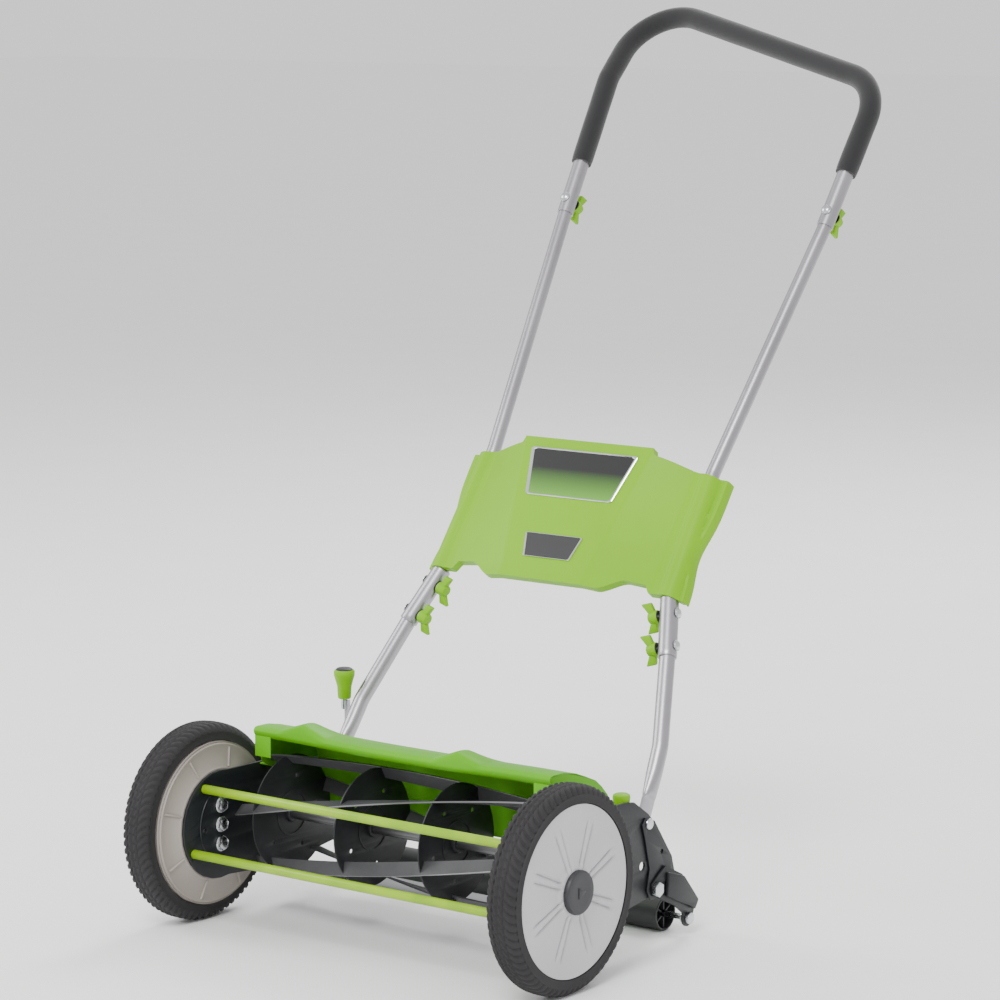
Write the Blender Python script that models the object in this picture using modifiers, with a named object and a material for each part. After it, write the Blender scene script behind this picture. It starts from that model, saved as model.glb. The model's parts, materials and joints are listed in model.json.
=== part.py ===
"""Reel mower: hand-pushed lawn mower with two driving wheels, a five-blade reel and a swinging handle.

Metres, +Z up. X runs across the mower, -Y is the cutting side and +Y the handle side. The bottom centre of
the whole object is the origin. "Left" is -X and "right" is +X. Sizes along X for a part that exists on both
sides are distances from the middle plane.
"""

from math import asin, atan2, cos, hypot, pi, radians, sin, tan

import bmesh
import bpy
from mathutils import Matrix, Vector

# ---------------------------------------------------------------- driving dimensions
GAP = 0.0003  # between pieces that touch
SHEET_GAP = 0.0004  # between painted sheets, and round bolts in clearance holes

CUT_WIDTH = 0.457
TYRE_RADIUS = 0.127
TYRE_WIDTH = 0.0415
TYRE_SHOULDER = 0.009
TYRE_LIP = 0.0010  # how far the tyre stands proud of the wheel's inner edge
COVER_INSET = 0.0040  # wheel cover's seat, inside the tyre's outer face
RIM_RADIUS = 0.105
RIM_WALL = 0.005
WEB_DEPTH = 0.0142  # of the dish that holds the ring gear
WEB_THICKNESS = 0.004
HUB_RADIUS = 0.018
HUB_LENGTH = 0.032
AXLE_RADIUS = 0.008
COVER_THICKNESS = 0.0022
HUB_CAP_RADIUS = 0.027
HUB_CAP_HEIGHT = 0.011
HUB_CAP_STEM = 0.011

REEL_END_GAP = 0.0215  # from the blades' ends to the side plates
WHEEL_STANDOFF = 0.0123  # from the side plates to the tyres
PLATE_THICKNESS = 0.0035
PLATE_FRONT_RADIUS = 0.070
FLANGE_RADIUS = 0.034
FLANGE_THICKNESS = 0.0023
AXLE_BOLT_SPACING = 0.025
AXLE_BOLT_RADIUS = 0.004
AXLE_BOLT_HEAD = 0.008
LOCK_STRIP = 0.0018
LOCK_STRIP_HALF_WIDTH = 0.009
SHIELD_RADIUS = 0.1045
SHIELD_THICKNESS = 0.0018
SHIELD_DEPTH = 0.0085
SHIELD_LIP = 0.0045

REEL_OFFSET_Y = 0.0797  # reel axis from the wheel axis
REEL_OFFSET_Z = 0.0070
REEL_RADIUS = 0.0775
BLADES = 5
BLADE_TWIST = radians(72)
BLADE_PHASE = radians(41)
BLADE_THICKNESS = 0.0022
BLADE_DEPTH = 0.0125
BLADE_LAY = radians(11)
BLADE_STATIONS = 13
DISC_MARGIN = 0.002  # from the blades' edges in to the discs' rims
DISC_INSET = 0.02825  # from the blades' ends to the outer discs
DISC_THICKNESS = 0.0018
SHAFT_RADIUS = 0.0075
BUSH_RADIUS = 0.012
BUSH_FLANGE = 0.0165
BAR_CLEARANCE = 0.0068  # from the reel down to the cutter bar
KNIFE_CLEARANCE = 0.0018
KNIFE_LIP = 0.0016

RING_TEETH = 57
PINION_TEETH = 9
GEAR_FACE = 0.0105

ROD_RADIUS = 0.0058
ROD_SPIGOT = 0.004

DECK_END_GAP = 0.015  # from the deck's ends to the side plates
DECK_SHEET = 0.0015
DECK_RISE = 0.0335  # of the deck's front edge over the reel
DECK_BEHIND = 0.0228  # of the deck's skirt behind the reel

PIVOT_PIN_RADIUS = 0.0045
LUG_THICKNESS = 0.0045
LUG_CLEARANCE = 0.0012
LOWER_TUBE_RADIUS = 0.0104
MIDDLE_TUBE_RADIUS = 0.0095
SOCKET_RADIUS = LOWER_TUBE_RADIUS + 0.0019  # of the sleeve round the lower tube
LOOP_TUBE_RADIUS = 0.0111
TUBE_WALL = 0.0009
SOCKET_OVERLAP = 0.074
LOOP_OVERLAP = 0.045
LOOP_CORNER_RADIUS = 0.070
GRIP_RADIUS = 0.0147
GRIP_WALL = 0.0032
GRIP_START = 0.0805  # along the loop from its seam
HANDLE_BOLT_RADIUS = 0.0032
HANDLE_BOLT_HEAD = 0.0062
LOWER_BOLTS = (0.015, 0.060)  # along the tube from its seam
UPPER_BOLT = 0.020
WING_KNOB_RADIUS = 0.0095
WING_KNOB_LENGTH = 0.0145
WING_KNOB_BORE = 0.0105
WING_HALF_SPAN = 0.0190
WING_THICKNESS = 0.0044
PANEL_WALL = 0.0022

ARM_THICKNESS = 0.0028
ARM_STOP_SWING = radians(20)
STUD_REACH = 0.030
STUD_ANGLE = radians(40)
STUD_RADIUS = 0.003
PIVOT_BOLT_RADIUS = 0.0060
PIVOT_BOLT_HEAD = 0.0098
ROLLER_RADIUS = 0.022
ROLLER_OFFSET_Y = 0.305
ROLLER_END_GAP = 0.024  # from the roller's ends to the side plates' planes
ROLLER_WALL = 0.0035
ROLLER_CUP = 0.020
ROLLER_AXLE_RADIUS = 0.004
AXLE_NUT_RADIUS = 0.0075
LEVER_THICKNESS = 0.0022
LEVER_KNOB_RADIUS = 0.0140
SCREW_RADIUS = 0.0037
SCREW_LENGTH = 0.056

TYRE_STEPS = 40
ROUND_STEPS = 24
SMALL_STEPS = 12
ROLLER_STEPS = 20

# ---------------------------------------------------------------- derived places
PLATE_INNER = CUT_WIDTH / 2 + REEL_END_GAP
PLATE_OUTER = PLATE_INNER + PLATE_THICKNESS
TYRE_INNER = PLATE_OUTER + WHEEL_STANDOFF
TYRE_OUTER = TYRE_INNER + TYRE_WIDTH
SHAFT_END = TYRE_INNER + 0.0135
QUADRANT_INNER = PLATE_OUTER + SHEET_GAP
QUADRANT_OUTER = QUADRANT_INNER + 0.0022
ARM_INNER = QUADRANT_OUTER + SHEET_GAP
ARM_OUTER = ARM_INNER + ARM_THICKNESS
DECK_HALF_WIDTH = PLATE_INNER - DECK_END_GAP
ROLLER_HALF_LENGTH = PLATE_INNER - ROLLER_END_GAP
DISC_SPACING = (CUT_WIDTH - 2 * DISC_INSET) / 3
DISC_RADIUS = REEL_RADIUS - DISC_MARGIN


def from_place(place, *offsets):
    """Places (y, z) at the given offsets from another place."""
    return [(place[0] + y, place[1] + z) for y, z in offsets]


AXIS = (0.0, TYRE_RADIUS)  # wheel axis as (y, z)
REEL = (AXIS[0] + REEL_OFFSET_Y, AXIS[1] + REEL_OFFSET_Z)
ROLLER = (ROLLER_OFFSET_Y, ROLLER_RADIUS)
UPPER_ROD, LOWER_ROD = from_place(AXIS, (-0.031, 0.051), (-0.052, -0.029))
HANDLE_PIVOT, ARM_PIVOT = from_place(AXIS, (0.224, 0.031), (0.2354, -0.0535))
DECK_TOP = REEL[1] + REEL_RADIUS + DECK_RISE
DECK_REAR = REEL[0] + REEL_RADIUS + DECK_BEHIND
REEL_CENTRE_DISTANCE = hypot(REEL_OFFSET_Y, REEL_OFFSET_Z)
MESH_LINE = atan2(REEL_OFFSET_Z, REEL_OFFSET_Y)  # from the wheel axis to the reel axis
RING_PITCH_RADIUS = REEL_CENTRE_DISTANCE * RING_TEETH / (RING_TEETH - PINION_TEETH)
PINION_PITCH_RADIUS = REEL_CENTRE_DISTANCE * PINION_TEETH / (RING_TEETH - PINION_TEETH)
ADJUST_KNOB = Vector((PLATE_INNER - 0.012, DECK_REAR + 0.010, HANDLE_PIVOT[1] + 0.042))


def on_handle(x, y, z):
    """A place on the handle, with y and z from its pivot."""
    return Vector((x, HANDLE_PIVOT[0] + y, HANDLE_PIVOT[1] + z))


# Centre line of the handle on the right side; the left side is its mirror up to the grip.
TUBE_START = on_handle(PLATE_INNER - 0.0050, 0.0125, 0.0220)
TUBE_BEND = on_handle(PLATE_INNER - 0.0100, 0.0460, 0.0870)
SEAM_LOW = on_handle(0.2085, 0.1056, 0.1865)
COVER_BOTTOM = on_handle(0.1823, 0.1487, 0.2561)
COVER_TOP = on_handle(0.1774, 0.2519, 0.4013)
SEAM_UP = on_handle(0.2111, 0.4586, 0.7075)
LOOP_CORNER_RIGHT = on_handle(0.222, 0.576, 0.890)
LOOP_CORNER_LEFT = on_handle(-0.222, 0.679, 0.993)

LEFT_AND_RIGHT = (("left", -1), ("right", 1))


# ---------------------------------------------------------------- scene and materials
def clear_scene():
    for obj in list(bpy.data.objects):
        bpy.data.objects.remove(obj, do_unlink=True)


def new_collection(name, hidden=False):
    collection = bpy.data.collections.new(name)
    bpy.context.scene.collection.children.link(collection)
    collection.hide_render = hidden
    return collection


def material(name, colour, roughness, metallic=0.0):
    made = bpy.data.materials.new(name)
    made.use_nodes = True
    shader = made.node_tree.nodes["Principled BSDF"]
    shader.inputs["Base Color"].default_value = (*colour, 1.0)
    shader.inputs["Roughness"].default_value = roughness
    shader.inputs["Metallic"].default_value = metallic
    made.diffuse_color = (*colour, 1.0)
    return made


clear_scene()
MOWER = new_collection("reel_mower")
CUTTERS = new_collection("cutters", hidden=True)

TYRE_RUBBER = material("tyre_rubber", (0.055, 0.052, 0.055), 0.85)
WHEEL_PLASTIC = material("wheel_plastic", (0.50, 0.48, 0.45), 0.55)
COVER_PLASTIC = material("cover_plastic", (0.58, 0.57, 0.59), 0.45)
PLATE_PAINT = material("plate_paint", (0.042, 0.054, 0.059), 0.5)
DECK_PAINT = material("deck_paint", (0.38, 0.60, 0.03), 0.4)
ROD_PAINT = material("rod_paint", (0.40, 0.56, 0.03), 0.4)
LIME_PLASTIC = material("lime_plastic", (0.36, 0.60, 0.04), 0.35)
REEL_PAINT = material("reel_paint", (0.045, 0.046, 0.050), 0.45)
BLADE_STEEL = material("blade_steel", (0.42, 0.42, 0.41), 0.4, 1.0)
ZINC = material("zinc", (0.62, 0.62, 0.60), 0.35, 1.0)
TUBE_STEEL = material("tube_steel", (0.40, 0.38, 0.40), 0.45, 0.7)
HUB_PLASTIC = material("hub_plastic", (0.075, 0.075, 0.082), 0.5)
GEAR_PLASTIC = material("gear_plastic", (0.05, 0.05, 0.05), 0.5)
GRIP_FOAM = material("grip_foam", (0.07, 0.07, 0.07), 0.95)
ROLLER_PLASTIC = material("roller_plastic", (0.03, 0.03, 0.03), 0.6)


# ---------------------------------------------------------------- shape helpers
def add_object(name, mesh, paint, collection=MOWER):
    obj = bpy.data.objects.new(name, mesh)
    collection.objects.link(obj)
    if paint:
        obj.data.materials.append(paint)
    return obj


def as_helper(obj):
    """Moves an object among the cutters, where it is neither drawn nor built."""
    for owner in list(obj.users_collection):
        owner.objects.unlink(obj)
    CUTTERS.objects.link(obj)
    obj.hide_render = True
    obj.display_type = "WIRE"
    return obj


def apply_modifiers(obj):
    """Replaces the object's mesh with its evaluated one."""
    graph = bpy.context.evaluated_depsgraph_get()
    graph.update()
    mesh = bpy.data.meshes.new_from_object(obj.evaluated_get(graph))
    obj.modifiers.clear()
    obj.data = mesh
    return obj


def boolean(obj, other, operation):
    modifier = obj.modifiers.new(operation.lower(), "BOOLEAN")
    modifier.operation = operation
    modifier.object = other
    modifier.solver = "EXACT"
    as_helper(other)
    return apply_modifiers(obj)


def joined(obj, *others):
    for other in others:
        boolean(obj, other, "UNION")
    return obj


def cut(obj, *cutters):
    for cutter in cutters:
        boolean(obj, cutter, "DIFFERENCE")
    return obj


def turned(name, profile, paint, steps=ROUND_STEPS, centre=AXIS, placing=None, phase=0.0):
    """A solid of revolution. profile holds (distance along the axis, radius); the axis is X unless placed."""
    following = profile[1:] + profile[:1]
    area = sum(a0 * r1 - a1 * r0 for (a0, r0), (a1, r1) in zip(profile, following))
    ordered = profile if area > 0 else profile[::-1]
    open_ends = ordered[0][1] == 0 and ordered[-1][1] == 0
    mesh = bpy.data.meshes.new(name)
    points = [(radius, 0.0, along) for along, radius in ordered]
    edges = [(i, i + 1) for i in range(len(points) - 1)]
    if not open_ends:
        edges.append((len(points) - 1, 0))
    mesh.from_pydata(points, edges, [])
    obj = add_object(name, mesh, paint)
    spin = obj.modifiers.new("turn", "SCREW")
    spin.steps = steps
    spin.render_steps = steps
    spin.use_merge_vertices = True
    spin.merge_threshold = 0.00001
    spin.use_smooth_shade = True
    apply_modifiers(obj)
    if placing is None:
        placing = Matrix.Translation((0.0, *centre)) @ Matrix.Rotation(phase, 4, "X")
        placing = placing @ Matrix.Rotation(pi / 2, 4, "Y")
    obj.matrix_world = placing
    return obj


def cylinder(name, start, end, radius, paint=None, steps=SMALL_STEPS, centre=AXIS, phase=0.0):
    profile = [(start, 0.0), (start, radius), (end, radius), (end, 0.0)]
    return turned(name, profile, paint, steps, centre, phase=phase)


def along_line(start, direction):
    """Placing of a turned shape whose axis starts at a point and runs in a direction."""
    turn = Vector(direction).to_track_quat("Z", "Y").to_matrix().to_4x4()
    return Matrix.Translation(start) @ turn


def pin(name, start, direction, profile, paint, steps=SMALL_STEPS):
    return turned(name, profile, paint, steps, placing=along_line(start, direction))


def ring_points(centre, radius, count=12, start=0.0, sweep=2 * pi):
    """Points on a circle, or on an arc when sweep is less than a full turn."""
    closed = abs(sweep) >= 2 * pi - 1e-9
    parts = count if closed else count - 1
    return [
        (
            centre[0] + radius * cos(start + sweep * i / parts),
            centre[1] + radius * sin(start + sweep * i / parts),
        )
        for i in range(count)
    ]


def plate(name, outlines, near, far, paint):
    """A flat piece with its outlines in (y, z), between two distances along X. Inner outlines are holes."""
    curve = bpy.data.curves.new(name, "CURVE")
    curve.dimensions = "2D"
    curve.fill_mode = "BOTH"
    curve.extrude = abs(far - near) / 2
    for outline in outlines:
        spline = curve.splines.new("POLY")
        spline.points.add(len(outline) - 1)
        for point, (y, z) in zip(spline.points, outline):
            point.co = (y, z, 0.0, 1.0)
        spline.use_cyclic_u = True
    drawn = bpy.data.objects.new(name + "_outline", curve)
    CUTTERS.objects.link(drawn)
    obj = curve_to_mesh(drawn, name, paint)
    obj.matrix_world = (
        Matrix.Translation(((near + far) / 2, 0.0, 0.0))
        @ Matrix.Rotation(pi / 2, 4, "Z")
        @ Matrix.Rotation(pi / 2, 4, "X")
    )
    return obj


def curve_to_mesh(drawn, name, paint):
    graph = bpy.context.evaluated_depsgraph_get()
    graph.update()
    mesh = bpy.data.meshes.new_from_object(drawn.evaluated_get(graph))
    bpy.data.objects.remove(drawn)
    shape = bmesh.new()
    shape.from_mesh(mesh)
    bmesh.ops.remove_doubles(shape, verts=shape.verts, dist=0.00001)
    bmesh.ops.recalc_face_normals(shape, faces=shape.faces)
    shape.to_mesh(mesh)
    shape.free()
    mesh.materials.clear()
    return add_object(name, mesh, paint)


def filleted(points, radius, steps=5):
    """The same path with its inner corners rounded by arcs."""
    path = [points[0]]
    for before, corner, after in zip(points, points[1:], points[2:]):
        to_before = (before - corner).normalized()
        to_after = (after - corner).normalized()
        half = to_before.angle(to_after) / 2
        reach = radius / tan(half)
        middle = corner + (to_before + to_after).normalized() * radius / sin(half)
        first = corner + to_before * reach - middle
        last = corner + to_after * reach - middle
        sweep = first.angle(last)
        for i in range(steps + 1):
            turn = sweep * i / steps
            path.append(middle + (first * sin(sweep - turn) + last * sin(turn)) / sin(sweep))
    return path + [points[-1]]


def tube(name, path, radius, wall, paint, swell=None, sides=10):
    """A bent tube with open ends. swell gives each path point's share of the radius."""
    curve = bpy.data.curves.new(name, "CURVE")
    curve.dimensions = "3D"
    curve.bevel_depth = radius
    curve.bevel_resolution = (sides - 4) // 2
    spline = curve.splines.new("POLY")
    spline.points.add(len(path) - 1)
    for i, (point, place) in enumerate(zip(spline.points, path)):
        point.co = (*place, 1.0)
        point.radius = swell[i] if swell else 1.0
    drawn = bpy.data.objects.new(name + "_path", curve)
    CUTTERS.objects.link(drawn)
    obj = curve_to_mesh(drawn, name, paint)
    skin = obj.modifiers.new("wall", "SOLIDIFY")
    skin.thickness = wall
    skin.offset = -1.0
    apply_modifiers(obj)
    obj.data.shade_smooth()
    return obj


def box(name, low, high, paint=None):
    mesh = bpy.data.meshes.new(name)
    shape = bmesh.new()
    bmesh.ops.create_cube(shape, size=1.0)
    bmesh.ops.scale(shape, vec=[h - l for l, h in zip(low, high)], verts=shape.verts)
    bmesh.ops.translate(shape, vec=[(h + l) / 2 for l, h in zip(low, high)], verts=shape.verts)
    shape.to_mesh(mesh)
    shape.free()
    return add_object(name, mesh, paint)


def hole_along(start, direction, radius, length):
    profile = [(0.0, 0.0), (0.0, radius), (length, radius), (length, 0.0)]
    return pin("hole", start, direction, profile, None, steps=8)


def gear_outline(teeth, centre, pitch_radius, internal, phase):
    """Trapezoid teeth round a pitch circle, slimmed so that a meshing pair keeps its backlash."""
    module = 2 * pitch_radius / teeth
    tip = pitch_radius - 0.8 * module if internal else pitch_radius + 0.8 * module
    root = pitch_radius + 1.1 * module if internal else pitch_radius - 1.1 * module
    pitch = 2 * pi / teeth
    root_half = 0.30 * pitch
    tip_half = 0.13 * pitch
    outline = []
    for i in range(teeth):
        middle = phase + i * pitch
        for radius, turn in ((root, -root_half), (tip, -tip_half), (tip, tip_half), (root, root_half)):
            outline.append(
                (centre[0] + radius * cos(middle + turn), centre[1] + radius * sin(middle + turn))
            )
    return outline


# ---------------------------------------------------------------- bodies
ROOT = bpy.data.objects.new("mower_frame", None)
MOWER.objects.link(ROOT)
BODIES = {}


def body(name, place, parent=None):
    """An empty on the joint's axis, which carries the pieces that move together."""
    empty = bpy.data.objects.new(name + "_body", None)
    MOWER.objects.link(empty)
    empty.matrix_world = Matrix.Translation(place)
    bpy.context.view_layer.update()
    carrier = BODIES[parent] if parent else ROOT
    empty.parent = carrier
    empty.matrix_parent_inverse = carrier.matrix_world.inverted()
    bpy.context.view_layer.update()
    BODIES[name] = empty
    return empty


def carry(name, *pieces):
    carrier = BODIES[name]
    for piece in pieces:
        bpy.context.view_layer.update()
        place = piece.matrix_world.copy()
        piece.parent = carrier
        piece.matrix_parent_inverse = carrier.matrix_world.inverted()
        piece.matrix_world = place


# ---------------------------------------------------------------- chassis
def plate_outline():
    """Round front about the wheel axis, running back to a raised tail."""
    front = ring_points(AXIS, PLATE_FRONT_RADIUS, 17, radians(78), radians(204))
    belly = from_place(AXIS, (0.120, -0.077))
    tail = from_place(ARM_PIVOT, (-0.0034, -0.0095), (0.0266, 0.0165), (0.0306, 0.0305))
    shoulder = [(0.020, -0.016), (0.012, 0.002), (0.002, 0.012), (-0.028, 0.032), (-0.048, 0.035)]
    return front + belly + tail + from_place(HANDLE_PIVOT, *shoulder)


def bolt_places():
    return [(AXIS[0], AXIS[1] + step * AXLE_BOLT_SPACING) for step in (-1, 0, 1)]


def side_plate(side, sign):
    sight_hole, slot_hole = from_place(AXIS, (-0.030, -0.004)) + from_place(HANDLE_PIVOT, (-0.0105, -0.052))
    holes = [
        ring_points(REEL, BUSH_RADIUS + GAP, 20),
        ring_points(HANDLE_PIVOT, PIVOT_PIN_RADIUS + GAP, 12),
        ring_points(sight_hole, 0.004, 10),
        ring_points(slot_hole, 0.006, 12),
    ]
    holes += [ring_points(place, AXLE_BOLT_RADIUS + SHEET_GAP, 12) for place in bolt_places()]
    holes += [ring_points(place, ROD_SPIGOT + GAP, 12) for place in (UPPER_ROD, LOWER_ROD)]
    outlines = [plate_outline()] + holes
    piece = plate(f"side_plate_{side}", outlines, sign * PLATE_INNER, sign * PLATE_OUTER, PLATE_PAINT)
    if sign > 0:
        add_knob_lug(piece)
    return piece


def add_knob_lug(piece):
    """Joins the shelf that the bed knife's screw stands in, with its hole."""
    reach, half_width, foot, thickness = 0.0170, 0.010, 0.050, 0.007
    low = (PLATE_INNER - reach, ADJUST_KNOB.y - half_width, ADJUST_KNOB.z - foot)
    high = (PLATE_INNER + PLATE_THICKNESS / 3, ADJUST_KNOB.y + half_width, low[2] + thickness)
    joined(piece, box("knob_lug", low, high))
    under = ADJUST_KNOB - Vector((0, 0, foot + thickness))
    cut(piece, hole_along(under, (0, 0, 1), SCREW_RADIUS + SHEET_GAP, 3 * thickness))


def tie_rod(name, place):
    inner, outer = PLATE_INNER - GAP, PLATE_OUTER
    profile = [(-outer, 0), (-outer, ROD_SPIGOT), (-inner, ROD_SPIGOT), (-inner, ROD_RADIUS)]
    profile += [(inner, ROD_RADIUS), (inner, ROD_SPIGOT), (outer, ROD_SPIGOT), (outer, 0)]
    return turned(name, profile, ROD_PAINT, SMALL_STEPS, centre=place)


def stub_axle(side, sign):
    inner = PLATE_OUTER + GAP
    outer = inner + FLANGE_THICKNESS
    end = TYRE_INNER + TYRE_LIP + HUB_LENGTH - 0.0005
    profile = [(inner, 0), (inner, FLANGE_RADIUS), (outer, FLANGE_RADIUS)]
    profile += [(outer, AXLE_RADIUS), (end, AXLE_RADIUS), (end, 0)]
    return turned(f"stub_axle_{side}", [(sign * a, r) for a, r in profile], ZINC, 16)


def axle_bolts(side, sign):
    """Three bolts whose heads share one locking strip inside the plate."""
    strip_outer = PLATE_INNER - GAP
    strip_inner = strip_outer - LOCK_STRIP
    y, z = LOCK_STRIP_HALF_WIDTH, AXLE_BOLT_SPACING + 0.010
    outline = from_place(AXIS, (-y, -z), (y, -z), (y, z), (-y, z))
    piece = plate(f"axle_bolts_{side}", [outline], sign * strip_inner, sign * strip_outer, ZINC)
    sunk = LOCK_STRIP / 4
    head_top = strip_inner - 0.0060
    for place in bolt_places():
        ends = sign * head_top, sign * (strip_inner + sunk)
        head = cylinder("head", *ends, AXLE_BOLT_HEAD, steps=6, centre=place)
        ends = sign * (strip_inner + sunk / 2), sign * PLATE_OUTER
        shank = cylinder("shank", *ends, AXLE_BOLT_RADIUS, steps=10, centre=place)
        joined(piece, head, shank)
    return piece


def gear_shield(side, sign):
    """Stationary dished dust cover that closes the open back of the wheel."""
    inner = PLATE_OUTER + SHEET_GAP
    bore = FLANGE_RADIUS + 0.002
    flat = PLATE_FRONT_RADIUS + 0.002
    lip = SHIELD_RADIUS - SHIELD_LIP
    far = inner + SHIELD_DEPTH
    t = SHIELD_THICKNESS
    profile = [(inner, bore), (inner, flat), (far, lip), (far, SHIELD_RADIUS)]
    profile += [(far + t, SHIELD_RADIUS), (far + t, lip - 0.0005)]
    profile += [(inner + t, flat - 0.0005), (inner + t, bore)]
    piece = turned(f"gear_shield_{side}", [(sign * a, r) for a, r in profile], WHEEL_PLASTIC)
    hole = cylinder("hole", sign * (inner - 0.01), sign * (far + 0.01), BUSH_RADIUS + 0.001, centre=REEL)
    return cut(piece, hole)


def reel_bush(side, sign):
    inner = PLATE_INNER - 0.006
    seat = PLATE_INNER - GAP
    outer = PLATE_OUTER + 0.0060
    bore = SHAFT_RADIUS + GAP
    profile = [(inner, bore), (inner, BUSH_FLANGE), (seat, BUSH_FLANGE)]
    profile += [(seat, BUSH_RADIUS), (outer, BUSH_RADIUS), (outer, bore)]
    return turned(f"reel_bush_{side}", [(sign * a, r) for a, r in profile], GEAR_PLASTIC, 12, centre=REEL)


def cutter_bar():
    end = PLATE_INNER - GAP
    top = REEL[1] - REEL_RADIUS - BAR_CLEARANCE
    middle = REEL[0]
    chamfer, depth = 0.0057, 0.0137
    front, back = middle + 0.0323, middle + 0.0783
    outline = [(front, top - depth), (front, top), (back - chamfer, top), (back, top - chamfer)]
    outline.append((back, top - depth))
    bar = plate("cutter_bar", [outline], -end, end, PLATE_PAINT)
    low = top + GAP
    high = low + 0.0020
    edge = REEL[1] - REEL_RADIUS - KNIFE_CLEARANCE
    nose, fold, tail = middle + 0.0103, middle + 0.0483, middle + 0.0703
    outline = [(nose, edge - KNIFE_LIP), (nose, edge), (fold, high), (tail, high), (tail, low), (fold, low)]
    knife = plate("bed_knife", [outline], -CUT_WIDTH / 2, CUT_WIDTH / 2, BLADE_STEEL)
    return bar, knife


def deck_cover():
    """Folded sheet over the reel: front lip, sloping top, rear shield and two hanging end cheeks."""
    front = REEL[0] - 0.0267
    section = [(front, DECK_TOP - 0.013), (front - 0.006, DECK_TOP - 0.004), (front - 0.001, DECK_TOP)]
    corner = (DECK_REAR, DECK_TOP)
    section += from_place(corner, (-0.080, -0.0055), (-0.040, -0.020), (-0.015, -0.041), (-0.004, -0.070))
    section.append((DECK_REAR, REEL[1] - 0.014))
    cheek = from_place(corner, (-0.050, -0.055), (-0.095, -0.058), (-0.118, -0.048))
    half = DECK_HALF_WIDTH - DECK_SHEET
    mesh = bpy.data.meshes.new("deck_cover")
    shape = bmesh.new()
    rows = [[shape.verts.new((x, y, z)) for y, z in section] for x in (-half, half)]
    for i in range(len(section) - 1):
        shape.faces.new((rows[0][i], rows[0][i + 1], rows[1][i + 1], rows[1][i]))
    for row in rows:
        shape.faces.new(row[:7] + [shape.verts.new((row[0].co.x, y, z)) for y, z in cheek])
    bmesh.ops.recalc_face_normals(shape, faces=shape.faces)
    shape.to_mesh(mesh)
    shape.free()
    piece = add_object("deck_cover", mesh, DECK_PAINT)
    skin = piece.modifiers.new("sheet", "SOLIDIFY")
    skin.thickness = DECK_SHEET
    skin.offset = 0.0
    skin.use_even_offset = True
    apply_modifiers(piece)
    tab_low = DECK_TOP - 0.0535
    for sign in (-1, 1):
        near, far = sorted((sign * (half - 0.004), sign * (PLATE_INNER - GAP)))
        tab = box("tab", (near, front + 0.022, tab_low), (far, front + 0.062, tab_low + 0.0020))
        joined(piece, tab)
    return piece


# ---------------------------------------------------------------- wheels and drive
def wheel(side, sign):
    inner = TYRE_INNER + TYRE_LIP
    web_in = inner + WEB_DEPTH
    web_out = web_in + WEB_THICKNESS
    outer = TYRE_OUTER - COVER_INSET - GAP
    hub_end = inner + HUB_LENGTH
    bore = AXLE_RADIUS + GAP
    rim = RIM_RADIUS - RIM_WALL
    profile = [(inner, bore), (inner, HUB_RADIUS), (web_in, HUB_RADIUS), (web_in, rim), (inner, rim)]
    profile += [(inner, RIM_RADIUS), (outer, RIM_RADIUS), (outer, rim), (web_out, rim)]
    profile += [(web_out, HUB_RADIUS), (hub_end, HUB_RADIUS), (hub_end, bore)]
    piece = turned(f"wheel_{side}", [(sign * a, r) for a, r in profile], WHEEL_PLASTIC)
    teeth = gear_outline(RING_TEETH, AXIS, RING_PITCH_RADIUS, True, MESH_LINE)
    body_of_ring = ring_points(AXIS, rim + RIM_WALL / 2, ROUND_STEPS)
    sunk = WEB_THICKNESS / 3
    ring = plate("ring_gear", [body_of_ring, teeth], sign * (inner + 0.0002), sign * (web_in + sunk), None)
    return joined(piece, ring)


def tyre(side, sign):
    """The vertex radius is stretched so that the flats between vertices lie at the tyre's radius."""
    crown = TYRE_RADIUS / cos(pi / TYRE_STEPS)
    inner_radius = (RIM_RADIUS + GAP) / cos(pi / TYRE_STEPS)
    flat = (TYRE_WIDTH - 2 * TYRE_SHOULDER) / 2
    middle = TYRE_INNER + TYRE_WIDTH / 2
    profile = [(TYRE_INNER, inner_radius), (TYRE_INNER, crown - TYRE_SHOULDER), (middle - flat, crown)]
    profile += [(middle + flat, crown), (TYRE_OUTER, crown - TYRE_SHOULDER), (TYRE_OUTER, inner_radius)]
    profile = [(sign * a, r) for a, r in profile]
    return turned(f"tyre_{side}", profile, TYRE_RUBBER, TYRE_STEPS, phase=pi / TYRE_STEPS)


def wheel_cover(side, sign):
    inner = TYRE_OUTER - COVER_INSET
    outer = inner + COVER_THICKNESS
    bore = HUB_CAP_STEM + GAP
    rim = RIM_RADIUS - 0.0005
    profile = [(inner, bore), (inner, rim), (outer, rim), (outer, bore)]
    cover = turned(f"wheel_cover_{side}", [(sign * a, r) for a, r in profile], COVER_PLASTIC)
    return cover, hub_cap(side, sign, outer + GAP)


def hub_cap(side, sign, seat):
    stem_end = seat - COVER_THICKNESS - 0.0033
    top = seat + HUB_CAP_HEIGHT
    profile = [(stem_end, 0), (stem_end, HUB_CAP_STEM), (seat, HUB_CAP_STEM), (seat, HUB_CAP_RADIUS)]
    profile += [(top - 0.002, HUB_CAP_RADIUS - 0.001), (top, HUB_CAP_RADIUS - 0.004), (top, 0)]
    return turned(f"hub_cap_{side}", [(sign * a, r) for a, r in profile], HUB_PLASTIC, 16)


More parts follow.
